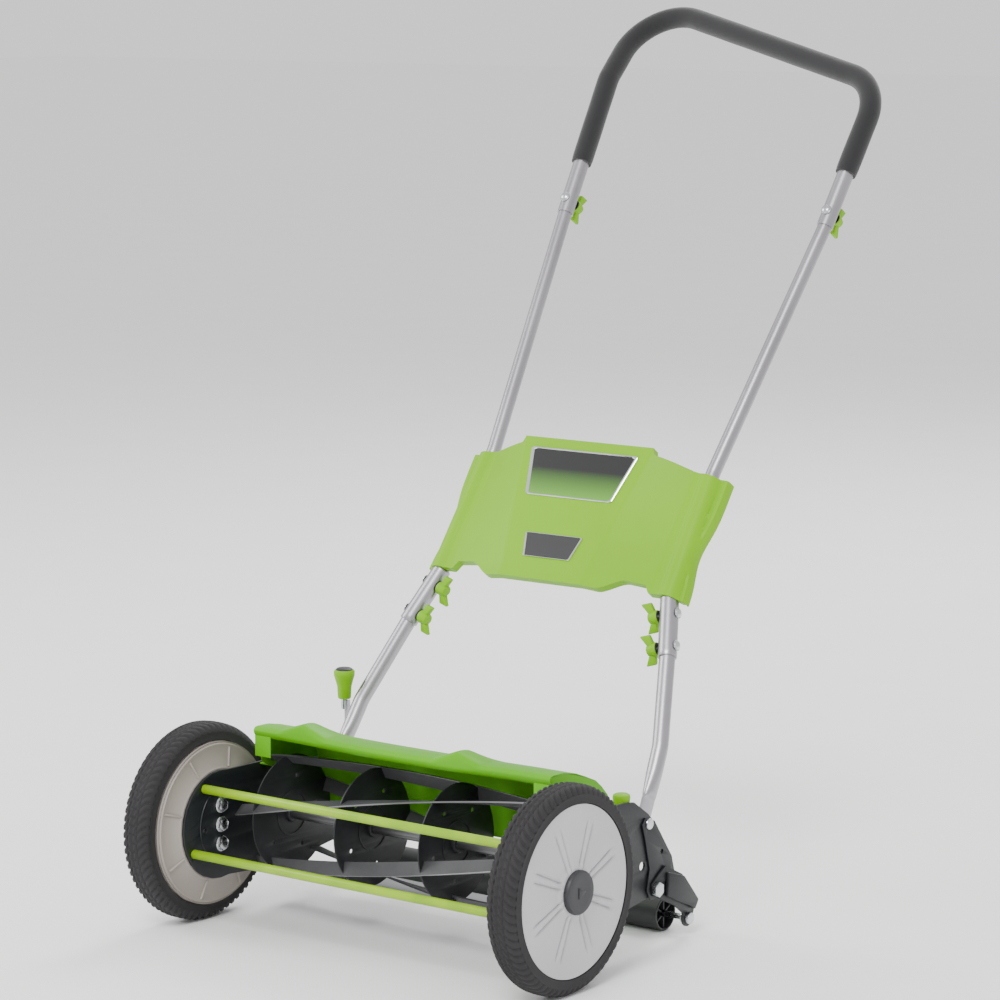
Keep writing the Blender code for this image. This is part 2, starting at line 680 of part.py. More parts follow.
def pinion(side, sign):
    inner = TYRE_INNER + 0.0022
    outer = inner + GEAR_FACE
    phase = MESH_LINE + pi / PINION_TEETH
    teeth = gear_outline(PINION_TEETH, REEL, PINION_PITCH_RADIUS, False, phase)
    bore = ring_points(REEL, SHAFT_RADIUS + GAP, 16)
    return plate(f"drive_pinion_{side}", [teeth, bore], sign * inner, sign * outer, GEAR_PLASTIC)


def blade_strip(name, grow, paint):
    """One straight strip at the reel's rim, twisted along the reel. Its origin is on the reel's axis."""
    half = BLADE_THICKNESS / 2 + grow
    outer = Vector((REEL_RADIUS, 0.0))
    lay = BLADE_LAY
    inner_radius = REEL_RADIUS - BLADE_DEPTH
    inner = Vector((inner_radius * cos(lay), -inner_radius * sin(lay)))
    run = (inner - outer).normalized()
    side = Vector((-run.y, run.x)) * half
    outer_end = outer - run * grow
    inner_end = inner + run * grow
    outline = [outer_end - side, outer_end + side, inner_end + side, inner_end - side]
    length = CUT_WIDTH + 2 * grow
    mesh = bpy.data.meshes.new(name)
    shape = bmesh.new()
    bmesh.ops.create_cube(shape, size=1.0)
    lengthwise = [e for e in shape.edges if abs(e.verts[0].co.x - e.verts[1].co.x) > 0.5]
    bmesh.ops.subdivide_edges(shape, edges=lengthwise, cuts=BLADE_STATIONS)
    corners = {(-1, -1): 0, (1, -1): 1, (1, 1): 2, (-1, 1): 3}
    for vert in shape.verts:
        corner = outline[corners[(1 if vert.co.y > 0 else -1, 1 if vert.co.z > 0 else -1)]]
        vert.co = (vert.co.x * length, corner.x, corner.y)
    shape.normal_update()
    bmesh.ops.recalc_face_normals(shape, faces=shape.faces)
    shape.to_mesh(mesh)
    shape.free()
    strip = add_object(name, mesh, paint)
    twist = strip.modifiers.new("twist", "SIMPLE_DEFORM")
    twist.deform_method = "TWIST"
    twist.deform_axis = "X"
    twist.angle = -BLADE_TWIST * length / CUT_WIDTH
    return apply_modifiers(strip)


def reel_blade(index, grow=0.0, paint=None):
    strip = blade_strip(f"reel_blade_{index + 1}" if paint else "blade_slot", grow, paint)
    turn = pi - BLADE_PHASE - 2 * pi * index / BLADES
    strip.matrix_world = Matrix.Translation((0.0, *REEL)) @ Matrix.Rotation(turn, 4, "X")
    return strip


def reel_shaft():
    """Shaft with its four stamped discs, which are notched where the blades pass."""
    half = DISC_THICKNESS / 2
    profile = [(-SHAFT_END, 0), (-SHAFT_END, SHAFT_RADIUS)]
    for step in (-1.5, -0.5, 0.5, 1.5):
        place = step * DISC_SPACING
        profile += [(place - half, SHAFT_RADIUS), (place - half, DISC_RADIUS)]
        profile += [(place + half, DISC_RADIUS), (place + half, SHAFT_RADIUS)]
    profile += [(SHAFT_END, SHAFT_RADIUS), (SHAFT_END, 0)]
    piece = turned("reel_shaft", profile, REEL_PAINT, centre=REEL)
    return cut(piece, *[reel_blade(i, GAP) for i in range(BLADES)])


# ---------------------------------------------------------------- height adjustment and roller
def height_quadrant(side, sign):
    margin = asin((STUD_RADIUS + 0.0012) / STUD_REACH)
    first = STUD_ANGLE - ARM_STOP_SWING - margin
    last = STUD_ANGLE + margin
    slot_half = STUD_RADIUS + 0.0006
    slot = ring_points(ARM_PIVOT, STUD_REACH + slot_half, 7, first, last - first)
    slot += ring_points(ARM_PIVOT, STUD_REACH - slot_half, 7, last, first - last)
    outline = from_place(HANDLE_PIVOT, (-0.014, 0.0), (-0.007, 0.009), (0.012, 0.002))
    outline += from_place(ARM_PIVOT, (0.0386, 0.0345), (0.0446, 0.0145), (0.0326, -0.0075))
    outline += from_place(ARM_PIVOT, (0.0106, -0.0135), (-0.0074, -0.0135), (-0.0154, 0.0005))
    outline += from_place(ARM_PIVOT, (-0.0094, 0.0265)) + from_place(HANDLE_PIVOT, (-0.008, -0.018))
    pin_hole = ring_points(HANDLE_PIVOT, PIVOT_PIN_RADIUS + GAP, 12)
    sight_hole = ring_points(*from_place(ARM_PIVOT, (0.0166, 0.0445)), 0.003, 10)
    outlines = [outline, slot, pin_hole, sight_hole]
    near, far = sign * QUADRANT_INNER, sign * QUADRANT_OUTER
    piece = plate(f"height_quadrant_{side}", outlines, near, far, PLATE_PAINT)
    seat = ARM_OUTER + GAP
    overlap = 0.001
    shank_ends = sign * (QUADRANT_INNER + overlap), sign * (seat + overlap)
    shank = cylinder("shank", *shank_ends, PIVOT_BOLT_RADIUS, centre=ARM_PIVOT)
    head = cylinder("head", sign * seat, sign * (seat + 0.0055), PIVOT_BOLT_HEAD, steps=6, centre=ARM_PIVOT)
    return joined(piece, shank, head)


def height_arm(side, sign):
    outline = from_place(ARM_PIVOT, (-0.0092, 0.0065), (-0.0064, -0.0075), (0.0023, -0.0115))
    outline += from_place(ARM_PIVOT, (0.0411, -0.0295))
    outline += from_place(ROLLER, (-0.010, 0.008)) + ring_points(ROLLER, 0.011, 7, radians(180), radians(180))
    outline += from_place(ROLLER, (0.019, 0.021))
    outline += from_place(ARM_PIVOT, (0.057, 0.008), (0.0206, 0.0255), (0.0046, 0.0165))
    pivot_hole = ring_points(ARM_PIVOT, PIVOT_BOLT_RADIUS + SHEET_GAP, 14)
    axle_hole = ring_points(ROLLER, ROLLER_AXLE_RADIUS + GAP, 12)
    outlines = [outline, pivot_hole, axle_hole]
    piece = plate(f"height_arm_{side}", outlines, sign * ARM_INNER, sign * ARM_OUTER, PLATE_PAINT)
    stud_offset = (STUD_REACH * cos(STUD_ANGLE), STUD_REACH * sin(STUD_ANGLE))
    stud_place = from_place(ARM_PIVOT, stud_offset)[0]
    near, far = QUADRANT_INNER + GAP, ARM_INNER + 0.001
    stud = cylinder("stud", sign * near, sign * far, STUD_RADIUS, steps=10, centre=stud_place)
    return joined(piece, stud)


def height_lever():
    """Strap on the left arm that rises past the handle tube to a moulded knob."""
    near = ARM_OUTER + GAP
    far = near + LEVER_THICKNESS
    outline = from_place(ARM_PIVOT, (0.0136, 0.0125), (0.0236, 0.0095), (0.0366, 0.0765))
    outline += from_place(ARM_PIVOT, (0.0346, 0.1685), (0.0246, 0.1685), (0.0246, 0.0765))
    strap = plate("height_lever", [outline], -near, -far, ZINC)
    y, z = from_place(ARM_PIVOT, (0.0296, 0.1565))[0]
    radius = LEVER_KNOB_RADIUS
    profile = [(0, 0), (0, 0.0045), (0.014, 0.0045), (0.015, 0.0095), (0.046, radius)]
    profile += [(0.053, radius), (0.055, radius - 0.002), (0.055, 0)]
    stem_offset = 0.0038  # outwards from the strap's outer face, so that the stem bites into the strap
    knob = pin("knob", Vector((-(far + stem_offset), y, z)), (0, 0, 1), profile, None, steps=20)
    return joined(strap, knob)


def roller_and_axle():
    half = ROLLER_HALF_LENGTH
    inner = half - ROLLER_CUP
    outer_radius = ROLLER_RADIUS / cos(pi / ROLLER_STEPS)
    bore = ROLLER_AXLE_RADIUS + 0.0008
    cup = ROLLER_RADIUS - ROLLER_WALL
    profile = [(-half, outer_radius), (half, outer_radius), (half, cup), (inner, cup), (inner, bore)]
    profile += [(-inner, bore), (-inner, cup), (-half, cup)]
    phase = pi / ROLLER_STEPS
    roller = turned("roller", profile, ROLLER_PLASTIC, ROLLER_STEPS, centre=ROLLER, phase=phase)
    nut = ARM_OUTER + GAP
    collar = ARM_INNER - GAP
    r = ROLLER_AXLE_RADIUS
    wide = AXLE_NUT_RADIUS
    profile = [(nut + 0.005, 0), (nut + 0.005, wide), (nut, wide), (nut, r), (collar, r), (collar, wide)]
    profile += [(collar - 0.004, wide), (collar - 0.004, r)]
    profile += [(-a, radius) for a, radius in reversed(profile)]
    axle = turned("roller_axle", profile, ZINC, SMALL_STEPS, centre=ROLLER)
    return roller, axle


# ---------------------------------------------------------------- handle
def mirrored(point, sign):
    return Vector((sign * point.x, point.y, point.z))


def along(start, toward, distance):
    return start + (toward - start).normalized() * distance


def lower_bolts(sign):
    """(centre on the tube, outward direction) of the two bolts of a lower joint."""
    low, high = mirrored(SEAM_LOW, sign), mirrored(COVER_BOTTOM, sign)
    run = (high - low).normalized()
    outward = Vector((sign, 0, 0))
    outward = (outward - run * outward.dot(run)).normalized()
    return [(along(low, high, distance), outward) for distance in LOWER_BOLTS]


def upper_bolt(sign):
    low, high = mirrored(SEAM_UP, sign), mirrored(LOOP_CORNER_RIGHT, sign)
    run = (high - low).normalized()
    forward = Vector((0, -1, 0))
    forward = (forward - run * forward.dot(run)).normalized()
    return along(low, high, UPPER_BOLT), forward


def bolt_hole(centre, direction, reach=0.02):
    return hole_along(centre - direction * reach, direction, HANDLE_BOLT_RADIUS + SHEET_GAP, 2 * reach)


def lower_tube(side, sign):
    end = along(mirrored(SEAM_LOW, sign), mirrored(COVER_BOTTOM, sign), SOCKET_OVERLAP)
    corners = [mirrored(p, sign) for p in (TUBE_START, TUBE_BEND, SEAM_LOW)] + [end]
    path = filleted(corners, 0.060, 3)
    piece = tube(f"handle_tube_lower_{side}", path, LOWER_TUBE_RADIUS, TUBE_WALL, TUBE_STEEL)
    outer = PLATE_INNER - LUG_CLEARANCE
    turn = atan2(TUBE_START.z - HANDLE_PIVOT[1], TUBE_START.y - HANDLE_PIVOT[0])
    top = (TUBE_START.y + 0.006, TUBE_START.z + 0.012)
    outline = ring_points(HANDLE_PIVOT, 0.0105, 9, turn + pi / 2, pi)
    outline += ring_points(top, 0.0095, 5, turn - pi / 2, pi)
    hole = ring_points(HANDLE_PIVOT, PIVOT_PIN_RADIUS + SHEET_GAP, 12)
    lug = plate("lug", [outline, hole], sign * (outer - LUG_THICKNESS), sign * outer, None)
    joined(piece, lug)
    return cut(piece, *[bolt_hole(*place) for place in lower_bolts(sign)])


def middle_tube(side, sign):
    low, bottom, top, up, corner = [
        mirrored(p, sign) for p in (SEAM_LOW, COVER_BOTTOM, COVER_TOP, SEAM_UP, LOOP_CORNER_RIGHT)
    ]
    swell_end = along(low, bottom, SOCKET_OVERLAP + 0.002)
    neck = along(low, bottom, SOCKET_OVERLAP + 0.005)
    inner_end = along(up, corner, LOOP_OVERLAP)
    path = filleted([neck, bottom + (bottom - low).normalized() * 0.002, top, up, inner_end], 0.05, 2)
    path = [low, swell_end] + path
    swell = [SOCKET_RADIUS / MIDDLE_TUBE_RADIUS] * 2 + [1.0] * (len(path) - 2)
    piece = tube(f"handle_tube_middle_{side}", path, MIDDLE_TUBE_RADIUS, TUBE_WALL, TUBE_STEEL, swell)
    return cut(piece, *[bolt_hole(*place) for place in lower_bolts(sign) + [upper_bolt(sign)]])


def loop_path():
    right = [SEAM_UP, LOOP_CORNER_RIGHT]
    left = [LOOP_CORNER_LEFT, mirrored(LOOP_CORNER_RIGHT, -1), mirrored(SEAM_UP, -1)]
    return right, left


def handle_loop():
    right, left = loop_path()
    path = filleted(right + left, LOOP_CORNER_RADIUS, 4)
    loop = tube("handle_loop", path, LOOP_TUBE_RADIUS, TUBE_WALL, TUBE_STEEL)
    cut(loop, *[bolt_hole(*upper_bolt(sign)) for _, sign in LEFT_AND_RIGHT])
    right[0] = along(SEAM_UP, LOOP_CORNER_RIGHT, GRIP_START)
    left[-1] = mirrored(right[0], -1)
    path = filleted(right + left, LOOP_CORNER_RADIUS, 4)
    grip = tube("grip_foam", path, GRIP_RADIUS, GRIP_WALL, GRIP_FOAM)
    return loop, grip


def panel_section(raised_half, raised, side, tube):
    """Half section (across, in front): raised middle, shoulder, tube housing and returned edge."""
    housing = SOCKET_RADIUS + 0.0025
    section = [(0.0, raised), (raised_half, raised), (tube - 0.020, housing), (tube + 0.012, housing)]
    return section + [(side - 0.002, housing - 0.006), (side, -0.002)]


def handle_cover():
    """Moulded panel in front of the two tubes, in the handle's own plane."""
    up = Vector((0, COVER_TOP.y - COVER_BOTTOM.y, COVER_TOP.z - COVER_BOTTOM.z)).normalized()
    front = Vector((0, -up.z, up.y))
    low_tube, high_tube = COVER_BOTTOM.x, COVER_TOP.x
    sections = (
        (-0.006, panel_section(0.0640, 0.0320, low_tube + 0.0235, low_tube)),
        (0.065, panel_section(0.0780, 0.0345, low_tube + 0.0150, low_tube - 0.002)),
        (0.172, panel_section(0.1000, 0.0370, high_tube + 0.0225, high_tube)),
        (0.184, panel_section(0.1020, 0.0370, high_tube + 0.0225, high_tube)),
    )
    mesh = bpy.data.meshes.new("handle_cover")
    shape = bmesh.new()
    rows = []
    for v, half in sections:
        section = [(-u, h) for u, h in reversed(half[1:])] + half
        rows.append([shape.verts.new(Vector((u, 0, 0)) + up * v + front * h) for u, h in section])
    for low, high in zip(rows, rows[1:]):
        for i in range(len(low) - 1):
            shape.faces.new((low[i], low[i + 1], high[i + 1], high[i]))
    shape.to_mesh(mesh)
    shape.free()
    piece = add_object("handle_cover", mesh, LIME_PLASTIC)
    wall = piece.modifiers.new("wall", "SOLIDIFY")
    wall.thickness = PANEL_WALL
    wall.offset = 0.0
    apply_modifiers(piece)
    piece.matrix_world = Matrix.Translation((0, COVER_BOTTOM.y, COVER_BOTTOM.z))
    return piece


def pivot_pin(side, sign):
    head_end = PLATE_INNER - LUG_CLEARANCE - LUG_THICKNESS - GAP
    outer = QUADRANT_OUTER + GAP
    r = PIVOT_PIN_RADIUS
    profile = [(head_end - 0.003, 0), (head_end - 0.003, 0.008), (head_end, 0.008), (head_end, r)]
    profile += [(outer, r), (outer, 0.0075), (outer + 0.002, 0.0065), (outer + 0.002, 0)]
    profile = [(sign * a, radius) for a, radius in profile]
    return turned(f"handle_pivot_pin_{side}", profile, ZINC, SMALL_STEPS, centre=HANDLE_PIVOT)


def joint_bolt(name, centre, headward, tube_radius):
    """Bolt through a tube joint, with its head on one side and its end inside the knob on the other."""
    head = tube_radius + 2 * GAP
    end = tube_radius + WING_KNOB_BORE - 0.0005
    r = HANDLE_BOLT_RADIUS
    profile = [(-end, 0), (-end, r), (head, r), (head, HANDLE_BOLT_HEAD), (head + 0.002, HANDLE_BOLT_HEAD)]
    profile += [(head + 0.0038, 0.004), (head + 0.0038, 0)]
    return pin(name, centre, headward, profile, ZINC)


def wing_knob(name, centre, knobward, tube_radius):
    """Two-winged nut with a blind bore."""
    start = centre + knobward * (tube_radius + 0.0010)
    bore = HANDLE_BOLT_RADIUS + GAP
    end, wide = WING_KNOB_LENGTH, WING_KNOB_RADIUS
    profile = [(0, bore), (0, wide), (0.010, wide - 0.0015), (end, wide - 0.0025), (end, 0)]
    profile += [(WING_KNOB_BORE, 0), (WING_KNOB_BORE, bore)]
    knob = pin(name, start, knobward, profile, LIME_PLASTIC)
    for side in (-1, 1):
        low, high = sorted((side * (wide - 0.0037), side * WING_HALF_SPAN))
        half = WING_THICKNESS / 2
        wing = box("wing", (-half, low, 0.0040), (half, high, end + 0.0070))
        wing.matrix_world = along_line(start, knobward)
        joined(knob, wing)
    return knob


def adjust_knob():
    """Knob and screw for the bed knife, standing in the right plate's lug."""
    r = SCREW_RADIUS
    profile = [(0, 0), (0, 0.0100), (-0.003, 0.0112), (-0.018, 0.0095), (-0.020, r), (-SCREW_LENGTH, r)]
    profile.append((-SCREW_LENGTH, 0))
    return pin("adjust_knob", ADJUST_KNOB, (0, 0, 1), profile, LIME_PLASTIC, steps=20)


# ---------------------------------------------------------------- assembly
def build():
    body("chassis", (0.0, *AXIS))
    body("handle", (0.0, *HANDLE_PIVOT))
    body("reel", (0.0, *REEL))
    body("height_arm", (0.0, *ARM_PIVOT))
    body("roller", (0.0, *ROLLER), "height_arm")
    body("adjust_knob", ADJUST_KNOB, "chassis")

    carry("chassis", tie_rod("tie_rod_upper", UPPER_ROD), tie_rod("tie_rod_lower", LOWER_ROD))
    carry("chassis", *cutter_bar(), deck_cover())
    carry("adjust_knob", adjust_knob())
    carry("reel", reel_shaft(), *[reel_blade(i, 0.0, REEL_PAINT) for i in range(BLADES)])
    roller, axle = roller_and_axle()
    carry("roller", roller)
    carry("height_arm", axle, height_lever())
    carry("handle", *handle_loop(), handle_cover())

    for side, sign in LEFT_AND_RIGHT:
        body(f"wheel_{side}", (sign * (TYRE_INNER + TYRE_WIDTH / 2), *AXIS))
        carry(f"wheel_{side}", wheel(side, sign), tyre(side, sign), *wheel_cover(side, sign))
        carry("chassis", side_plate(side, sign), stub_axle(side, sign), axle_bolts(side, sign))
        carry("chassis", gear_shield(side, sign), reel_bush(side, sign))
        carry("chassis", height_quadrant(side, sign), pivot_pin(side, sign))
        carry("reel", pinion(side, sign))
        carry("height_arm", height_arm(side, sign))
        carry("handle", lower_tube(side, sign), middle_tube(side, sign))
        add_tube_joints(side, sign)


def add_tube_joints(side, sign):
    """The bolts and wing knobs of one side's two tube joints. Each knob is a body on its bolt's axis."""
    joints = [(f"lower_{n}", *place, SOCKET_RADIUS) for n, place in enumerate(lower_bolts(sign), 1)]
    joints.append(("upper", *upper_bolt(sign), LOOP_TUBE_RADIUS))
    for joint, centre, headward, radius in joints:
        carry("handle", joint_bolt(f"handle_bolt_{side}_{joint}", centre, headward, radius))
        name = f"wing_knob_{side}_{joint}"
        body(name, centre, "handle")
        carry(name, wing_knob(name, centre, -headward, radius))


def centre_model():
    """Slides the whole assembly so that the middle of its length is at y = 0."""
    bpy.context.view_layer.update()
    graph = bpy.context.evaluated_depsgraph_get()
    lengths = []
    for obj in MOWER.objects:
        if obj.type == "MESH":
            solid = obj.evaluated_get(graph)
            lengths += [(solid.matrix_world @ vertex.co).y for vertex in solid.data.vertices]
    ROOT.location.y = -(min(lengths) + max(lengths)) / 2
    bpy.context.view_layer.update()


build()
centre_model()
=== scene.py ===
"""Looks of a hand-pushed reel mower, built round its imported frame. Metres, +Z up, X across the mower."""

import json
from contextlib import contextmanager
from math import cos, exp, hypot, pi, radians, sin, tan

import bmesh
import bpy
from mathutils import Matrix, Vector


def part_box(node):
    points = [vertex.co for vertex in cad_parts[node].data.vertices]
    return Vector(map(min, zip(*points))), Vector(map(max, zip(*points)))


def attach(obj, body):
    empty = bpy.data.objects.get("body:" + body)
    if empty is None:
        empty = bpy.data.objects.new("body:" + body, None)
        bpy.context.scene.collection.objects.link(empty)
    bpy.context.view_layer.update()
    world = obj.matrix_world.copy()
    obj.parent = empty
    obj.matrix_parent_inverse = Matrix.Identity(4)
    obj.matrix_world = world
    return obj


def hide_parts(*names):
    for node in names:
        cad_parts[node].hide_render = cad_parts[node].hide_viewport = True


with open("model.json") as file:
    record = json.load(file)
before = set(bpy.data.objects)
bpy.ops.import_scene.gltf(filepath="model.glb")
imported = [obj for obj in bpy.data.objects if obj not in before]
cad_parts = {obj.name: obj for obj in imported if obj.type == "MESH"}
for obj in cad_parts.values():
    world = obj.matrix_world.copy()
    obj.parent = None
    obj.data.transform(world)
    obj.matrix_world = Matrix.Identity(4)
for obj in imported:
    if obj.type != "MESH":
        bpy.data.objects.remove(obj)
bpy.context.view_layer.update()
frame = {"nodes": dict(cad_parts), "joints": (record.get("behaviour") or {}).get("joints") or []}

MM = 0.001


def in_mm(*points):
    """Points given in millimetres, in metres."""
    return [tuple(value * MM for value in point) for point in points]


JOINT = {joint["name"]: Vector(joint["pos_m"]) for joint in frame["joints"]}
WHEEL = JOINT["wheel_left_spin"]
REEL = JOINT["reel_spin"]
PIVOT = JOINT["handle_swing"]
ARM_PIVOT = JOINT["height_adjust"]
ROLLER = JOINT["roller_spin"]
SIDES = (("left", -1), ("right", 1))
SIDE_NAMES = ("left", "right")


# ---------------------------------------------------------------- camera, floor and light
CAMERA_AZIMUTH = radians(37.276)
CAMERA_HEIGHT_ANGLE = radians(8.545)
CAMERA_DISTANCE = 4.424
CAMERA_ACROSS = 0.1554
CAMERA_ABOVE = 0.5593
LENS = 129.11


def camera_axes():
    across = Vector((cos(CAMERA_AZIMUTH), sin(CAMERA_AZIMUTH), 0))
    level = cos(CAMERA_HEIGHT_ANGLE)
    back = Vector((level * across.y, -level * across.x, sin(CAMERA_HEIGHT_ANGLE)))
    return across, back.cross(across), back


def add_camera():
    across, up, back = camera_axes()
    data = bpy.data.cameras.new("camera")
    data.lens = LENS
    camera = bpy.data.objects.new("camera", data)
    bpy.context.scene.collection.objects.link(camera)
    under_axle = Vector((0, WHEEL.y, 0))
    place = under_axle + across * CAMERA_ACROSS + up * CAMERA_ABOVE + back * CAMERA_DISTANCE
    turn = Matrix((across, up, back)).transposed().to_4x4()
    camera.matrix_world = Matrix.Translation(place) @ turn
    bpy.context.scene.camera = camera


def area_light(name, place, aim, size, power):
    data = bpy.data.lights.new(name, "AREA")
    data.shape = "DISK"
    data.size = size
    data.energy = power
    lamp = bpy.data.objects.new(name, data)
    bpy.context.scene.collection.objects.link(lamp)
    turn = (Vector(place) - Vector(aim)).to_track_quat("Z", "Y").to_matrix().to_4x4()
    lamp.matrix_world = Matrix.Translation(place) @ turn


# ---------------------------------------------------------------- materials
def colour(hex_value):
    """sRGB hex to linear colour."""
    def channel(shift):
        value = ((hex_value >> shift) & 255) / 255
        return value / 12.92 if value <= 0.04045 else ((value + 0.055) / 1.055) ** 2.4
    return (channel(16), channel(8), channel(0), 1.0)


def node(tree, kind, inputs=None, **settings):
    """Adds a node. Each input is a value, or an output socket to link from."""
    made = tree.nodes.new(kind)
    for name, value in settings.items():
        setattr(made, name, value)
    for key, value in (inputs or {}).items():
        if isinstance(value, bpy.types.NodeSocket):
            tree.links.new(value, made.inputs[key])
        else:
            made.inputs[key].default_value = value
    return made


def start_material(name, **shader_values):
    made = bpy.data.materials.new(name)
    made.use_nodes = True
    tree = made.node_tree
    shader = tree.nodes["Principled BSDF"]
    for key, value in shader_values.items():
        shader.inputs[key.replace("_", " ")].default_value = value
    place = node(tree, "ShaderNodeTexCoord").outputs["Object"]
    return made, tree, shader, place


def blended(tree, share, first, second):
    """Socket with the mix of two hex colours."""
    mixed = node(tree, "ShaderNodeMix", {0: share, 6: colour(first), 7: colour(second)}, data_type="RGBA")
    return mixed.outputs[2]


def noise(tree, place, scale, detail):
    made = node(tree, "ShaderNodeTexNoise", {"Vector": place, "Scale": scale, "Detail": detail})
    return made.outputs[0]


def remapped(tree, value, **limits):
    """Socket with a value moved from one range to another, with limits such as To_Min."""
    given = {key.replace("_", " "): limit for key, limit in limits.items()}
    return node(tree, "ShaderNodeMapRange", {"Value": value, **given}).outputs[0]


def relief(tree, height, distance, strength, invert=False):
    given = {"Height": height, "Distance": distance, "Strength": strength}
    return node(tree, "ShaderNodeBump", given, invert=invert).outputs[0]


def plug_in(tree, shader, **sockets):
    for key, socket in sockets.items():
        tree.links.new(socket, shader.inputs[key.replace("_", " ")])


def mottled(name, base, worn, grain, roughness, spread, bump, speck=6.0, **shader_values):
    """A surface whose tone drifts slowly, with a fine grain (in metres) in its gloss and its relief."""
    made, tree, shader, place = start_material(name, **shader_values)
    fine = noise(tree, place, 1 / grain, 3.0)
    drift = remapped(tree, noise(tree, place, speck, 4.0), From_Min=0.35, From_Max=0.7)
    plug_in(
        tree,
        shader,
        Base_Color=blended(tree, drift, base, worn),
        Roughness=remapped(tree, fine, To_Min=roughness - spread, To_Max=roughness + spread),
        Normal=relief(tree, fine, grain * 0.35, bump),
    )
    return made


def brushed(name, base, streak, roughness, stretch, **shader_values):
    """Metal drawn or brushed along one direction: fine streaks, long along it and narrow across it."""
    made, tree, shader, place = start_material(name, Metallic=1.0, **shader_values)
    lines = node(tree, "ShaderNodeMapping", {"Vector": place, "Scale": stretch})
    grain = noise(tree, lines.outputs[0], 1.0, 5.0)
    plug_in(
        tree,
        shader,
        Base_Color=blended(tree, noise(tree, place, 9.0, 3.0), base, streak),
        Roughness=remapped(tree, grain, To_Min=roughness - 0.10, To_Max=roughness + 0.12),
        Normal=relief(tree, grain, 0.1 * MM, 0.25),
    )
    return made


def cellular(name, base, dark, cell, roughness, bump, **shader_values):
    """Closed-cell foam or cast skin: rounded cells of a real size with darker seams between them."""
    made, tree, shader, place = start_material(name, Roughness=roughness, **shader_values)
    cells = node(tree, "ShaderNodeTexVoronoi", {"Vector": place, "Scale": 1 / cell}).outputs["Distance"]
    clouds = noise(tree, place, 14.0, 4.0)
    shade = node(tree, "ShaderNodeMath", {0: cells, 1: clouds}, operation="MULTIPLY").outputs[0]
    plug_in(
        tree,
        shader,
        Base_Color=blended(tree, shade, base, dark),
        Normal=relief(tree, cells, cell * 0.4, bump, invert=True),
    )
    return made


def badge_print():
    """Domed label over a printed film: black at the top fading to green at the foot."""
    made, tree, shader, place = start_material("domed_printed_label", Roughness=0.18, Coat_Weight=0.6)
    height = node(tree, "ShaderNodeSeparateXYZ", {"Vector": place}).outputs["Z"]
    fade = remapped(tree, height, From_Min=PANEL.z + 0.096, From_Max=PANEL.z + 0.140)
    plug_in(tree, shader, Base_Color=blended(tree, fade, 0x6FB832, 0x0A0C0B))
    return made


# Places on the handle, from its pivot: x across, then back and up.
def on_handle(x, back, up):
    return Vector((x, PIVOT.y + back, PIVOT.z + up))


PANEL = on_handle(0, 0.1487, 0.2561)

# Styrene-butadiene tyre rubber, moulded: dull, very rough, faintly greyed in patches.
RUBBER = mottled("moulded_tyre_rubber", 0x1F1D1F, 0x292729, 0.6 * MM, 0.78, 0.12, 0.5)
# Talc-filled polypropylene dust shield and wheel, moulded: warm grey with a faint satin sheen.
WHEEL_GREY = mottled("moulded_grey_polypropylene", 0x9C948D, 0x8F8780, 0.5 * MM, 0.5, 0.08, 0.25)
# ABS wheel cover, moulded: cool pale grey, soft highlights.
COVER_GREY = mottled(
    "satin_grey_abs", 0xBDBCBF, 0xB0AFB2, 0.4 * MM, 0.36, 0.06, 0.15, Specular_IOR_Level=0.6
)
# Charcoal ABS hub cap, moulded with a fine spark-eroded grain.
CHARCOAL = mottled("grained_charcoal_abs", 0x2C2C30, 0x232327, 0.5 * MM, 0.48, 0.08, 0.4)
# Steel plate, powder coated: dark slate with the orange-peel relief of baked powder.
SLATE = mottled("slate_powder_coat", 0x14181B, 0x101316, 1.6 * MM, 0.46, 0.07, 0.35)
# Steel reel, dip painted: thin charcoal paint, slightly uneven, grey where it is worn.
REEL_PAINT = mottled("charcoal_dip_paint", 0x17181B, 0x242528, 1.2 * MM, 0.46, 0.10, 0.3, speck=22.0)
# Spring steel blades, dip painted and dulled by dust: a paler grey than the discs.
BLADE_GREY = mottled("dusty_grey_dip_paint", 0x39393C, 0x47474A, 1.2 * MM, 0.48, 0.08, 0.3, speck=22.0)
# Sheet steel deck, powder coated: strong lime with fine orange peel.
DECK_LIME = mottled(
    "lime_powder_coat", 0x57A404, 0x5EAC06, 1.5 * MM, 0.44, 0.05, 0.25, Specular_IOR_Level=0.2
)
# Steel rod, wet painted: yellower green, a little thin and streaky.
ROD_LIME = mottled("yellow_green_enamel", 0x93BC00, 0x7FAA02, 1.2 * MM, 0.36, 0.06, 0.2, speck=30.0)
# Polypropylene panel and knobs, injection moulded: opaque lime with a smooth semi-gloss skin.
LIME = mottled("lime_polypropylene", 0x7DB800, 0x76B000, 0.5 * MM, 0.44, 0.05, 0.12, Specular_IOR_Level=0.2)
# Steel tube, brushed along its length and clear coated: grey with fine lengthwise streaks.
TUBE = brushed("brushed_steel_tube", 0xB4B1B5, 0x9A979C, 0.36, (1800, 140, 140), Coat_Weight=0.1)
# Carbon steel edge, rolled and ground: brighter grey with fine lines along the edge.
GROUND_STEEL = brushed("ground_carbon_steel", 0x8E8E90, 0x6C6C6F, 0.34, (60, 1600, 1600))
# Zinc plate on steel: bright, slightly blue-white, with a fine mottle.
ZINC = mottled("bright_zinc_plate", 0xD4D6D8, 0xB9BCC0, 1.0 * MM, 0.26, 0.08, 0.2, speck=60.0, Metallic=1.0)
# Chromium plate on steel: mirror bright, only faintly uneven.
CHROME = mottled("chromium_plate", 0xE2E3E4, 0xD0D2D4, 2.0 * MM, 0.10, 0.04, 0.05, speck=40.0, Metallic=1.0)
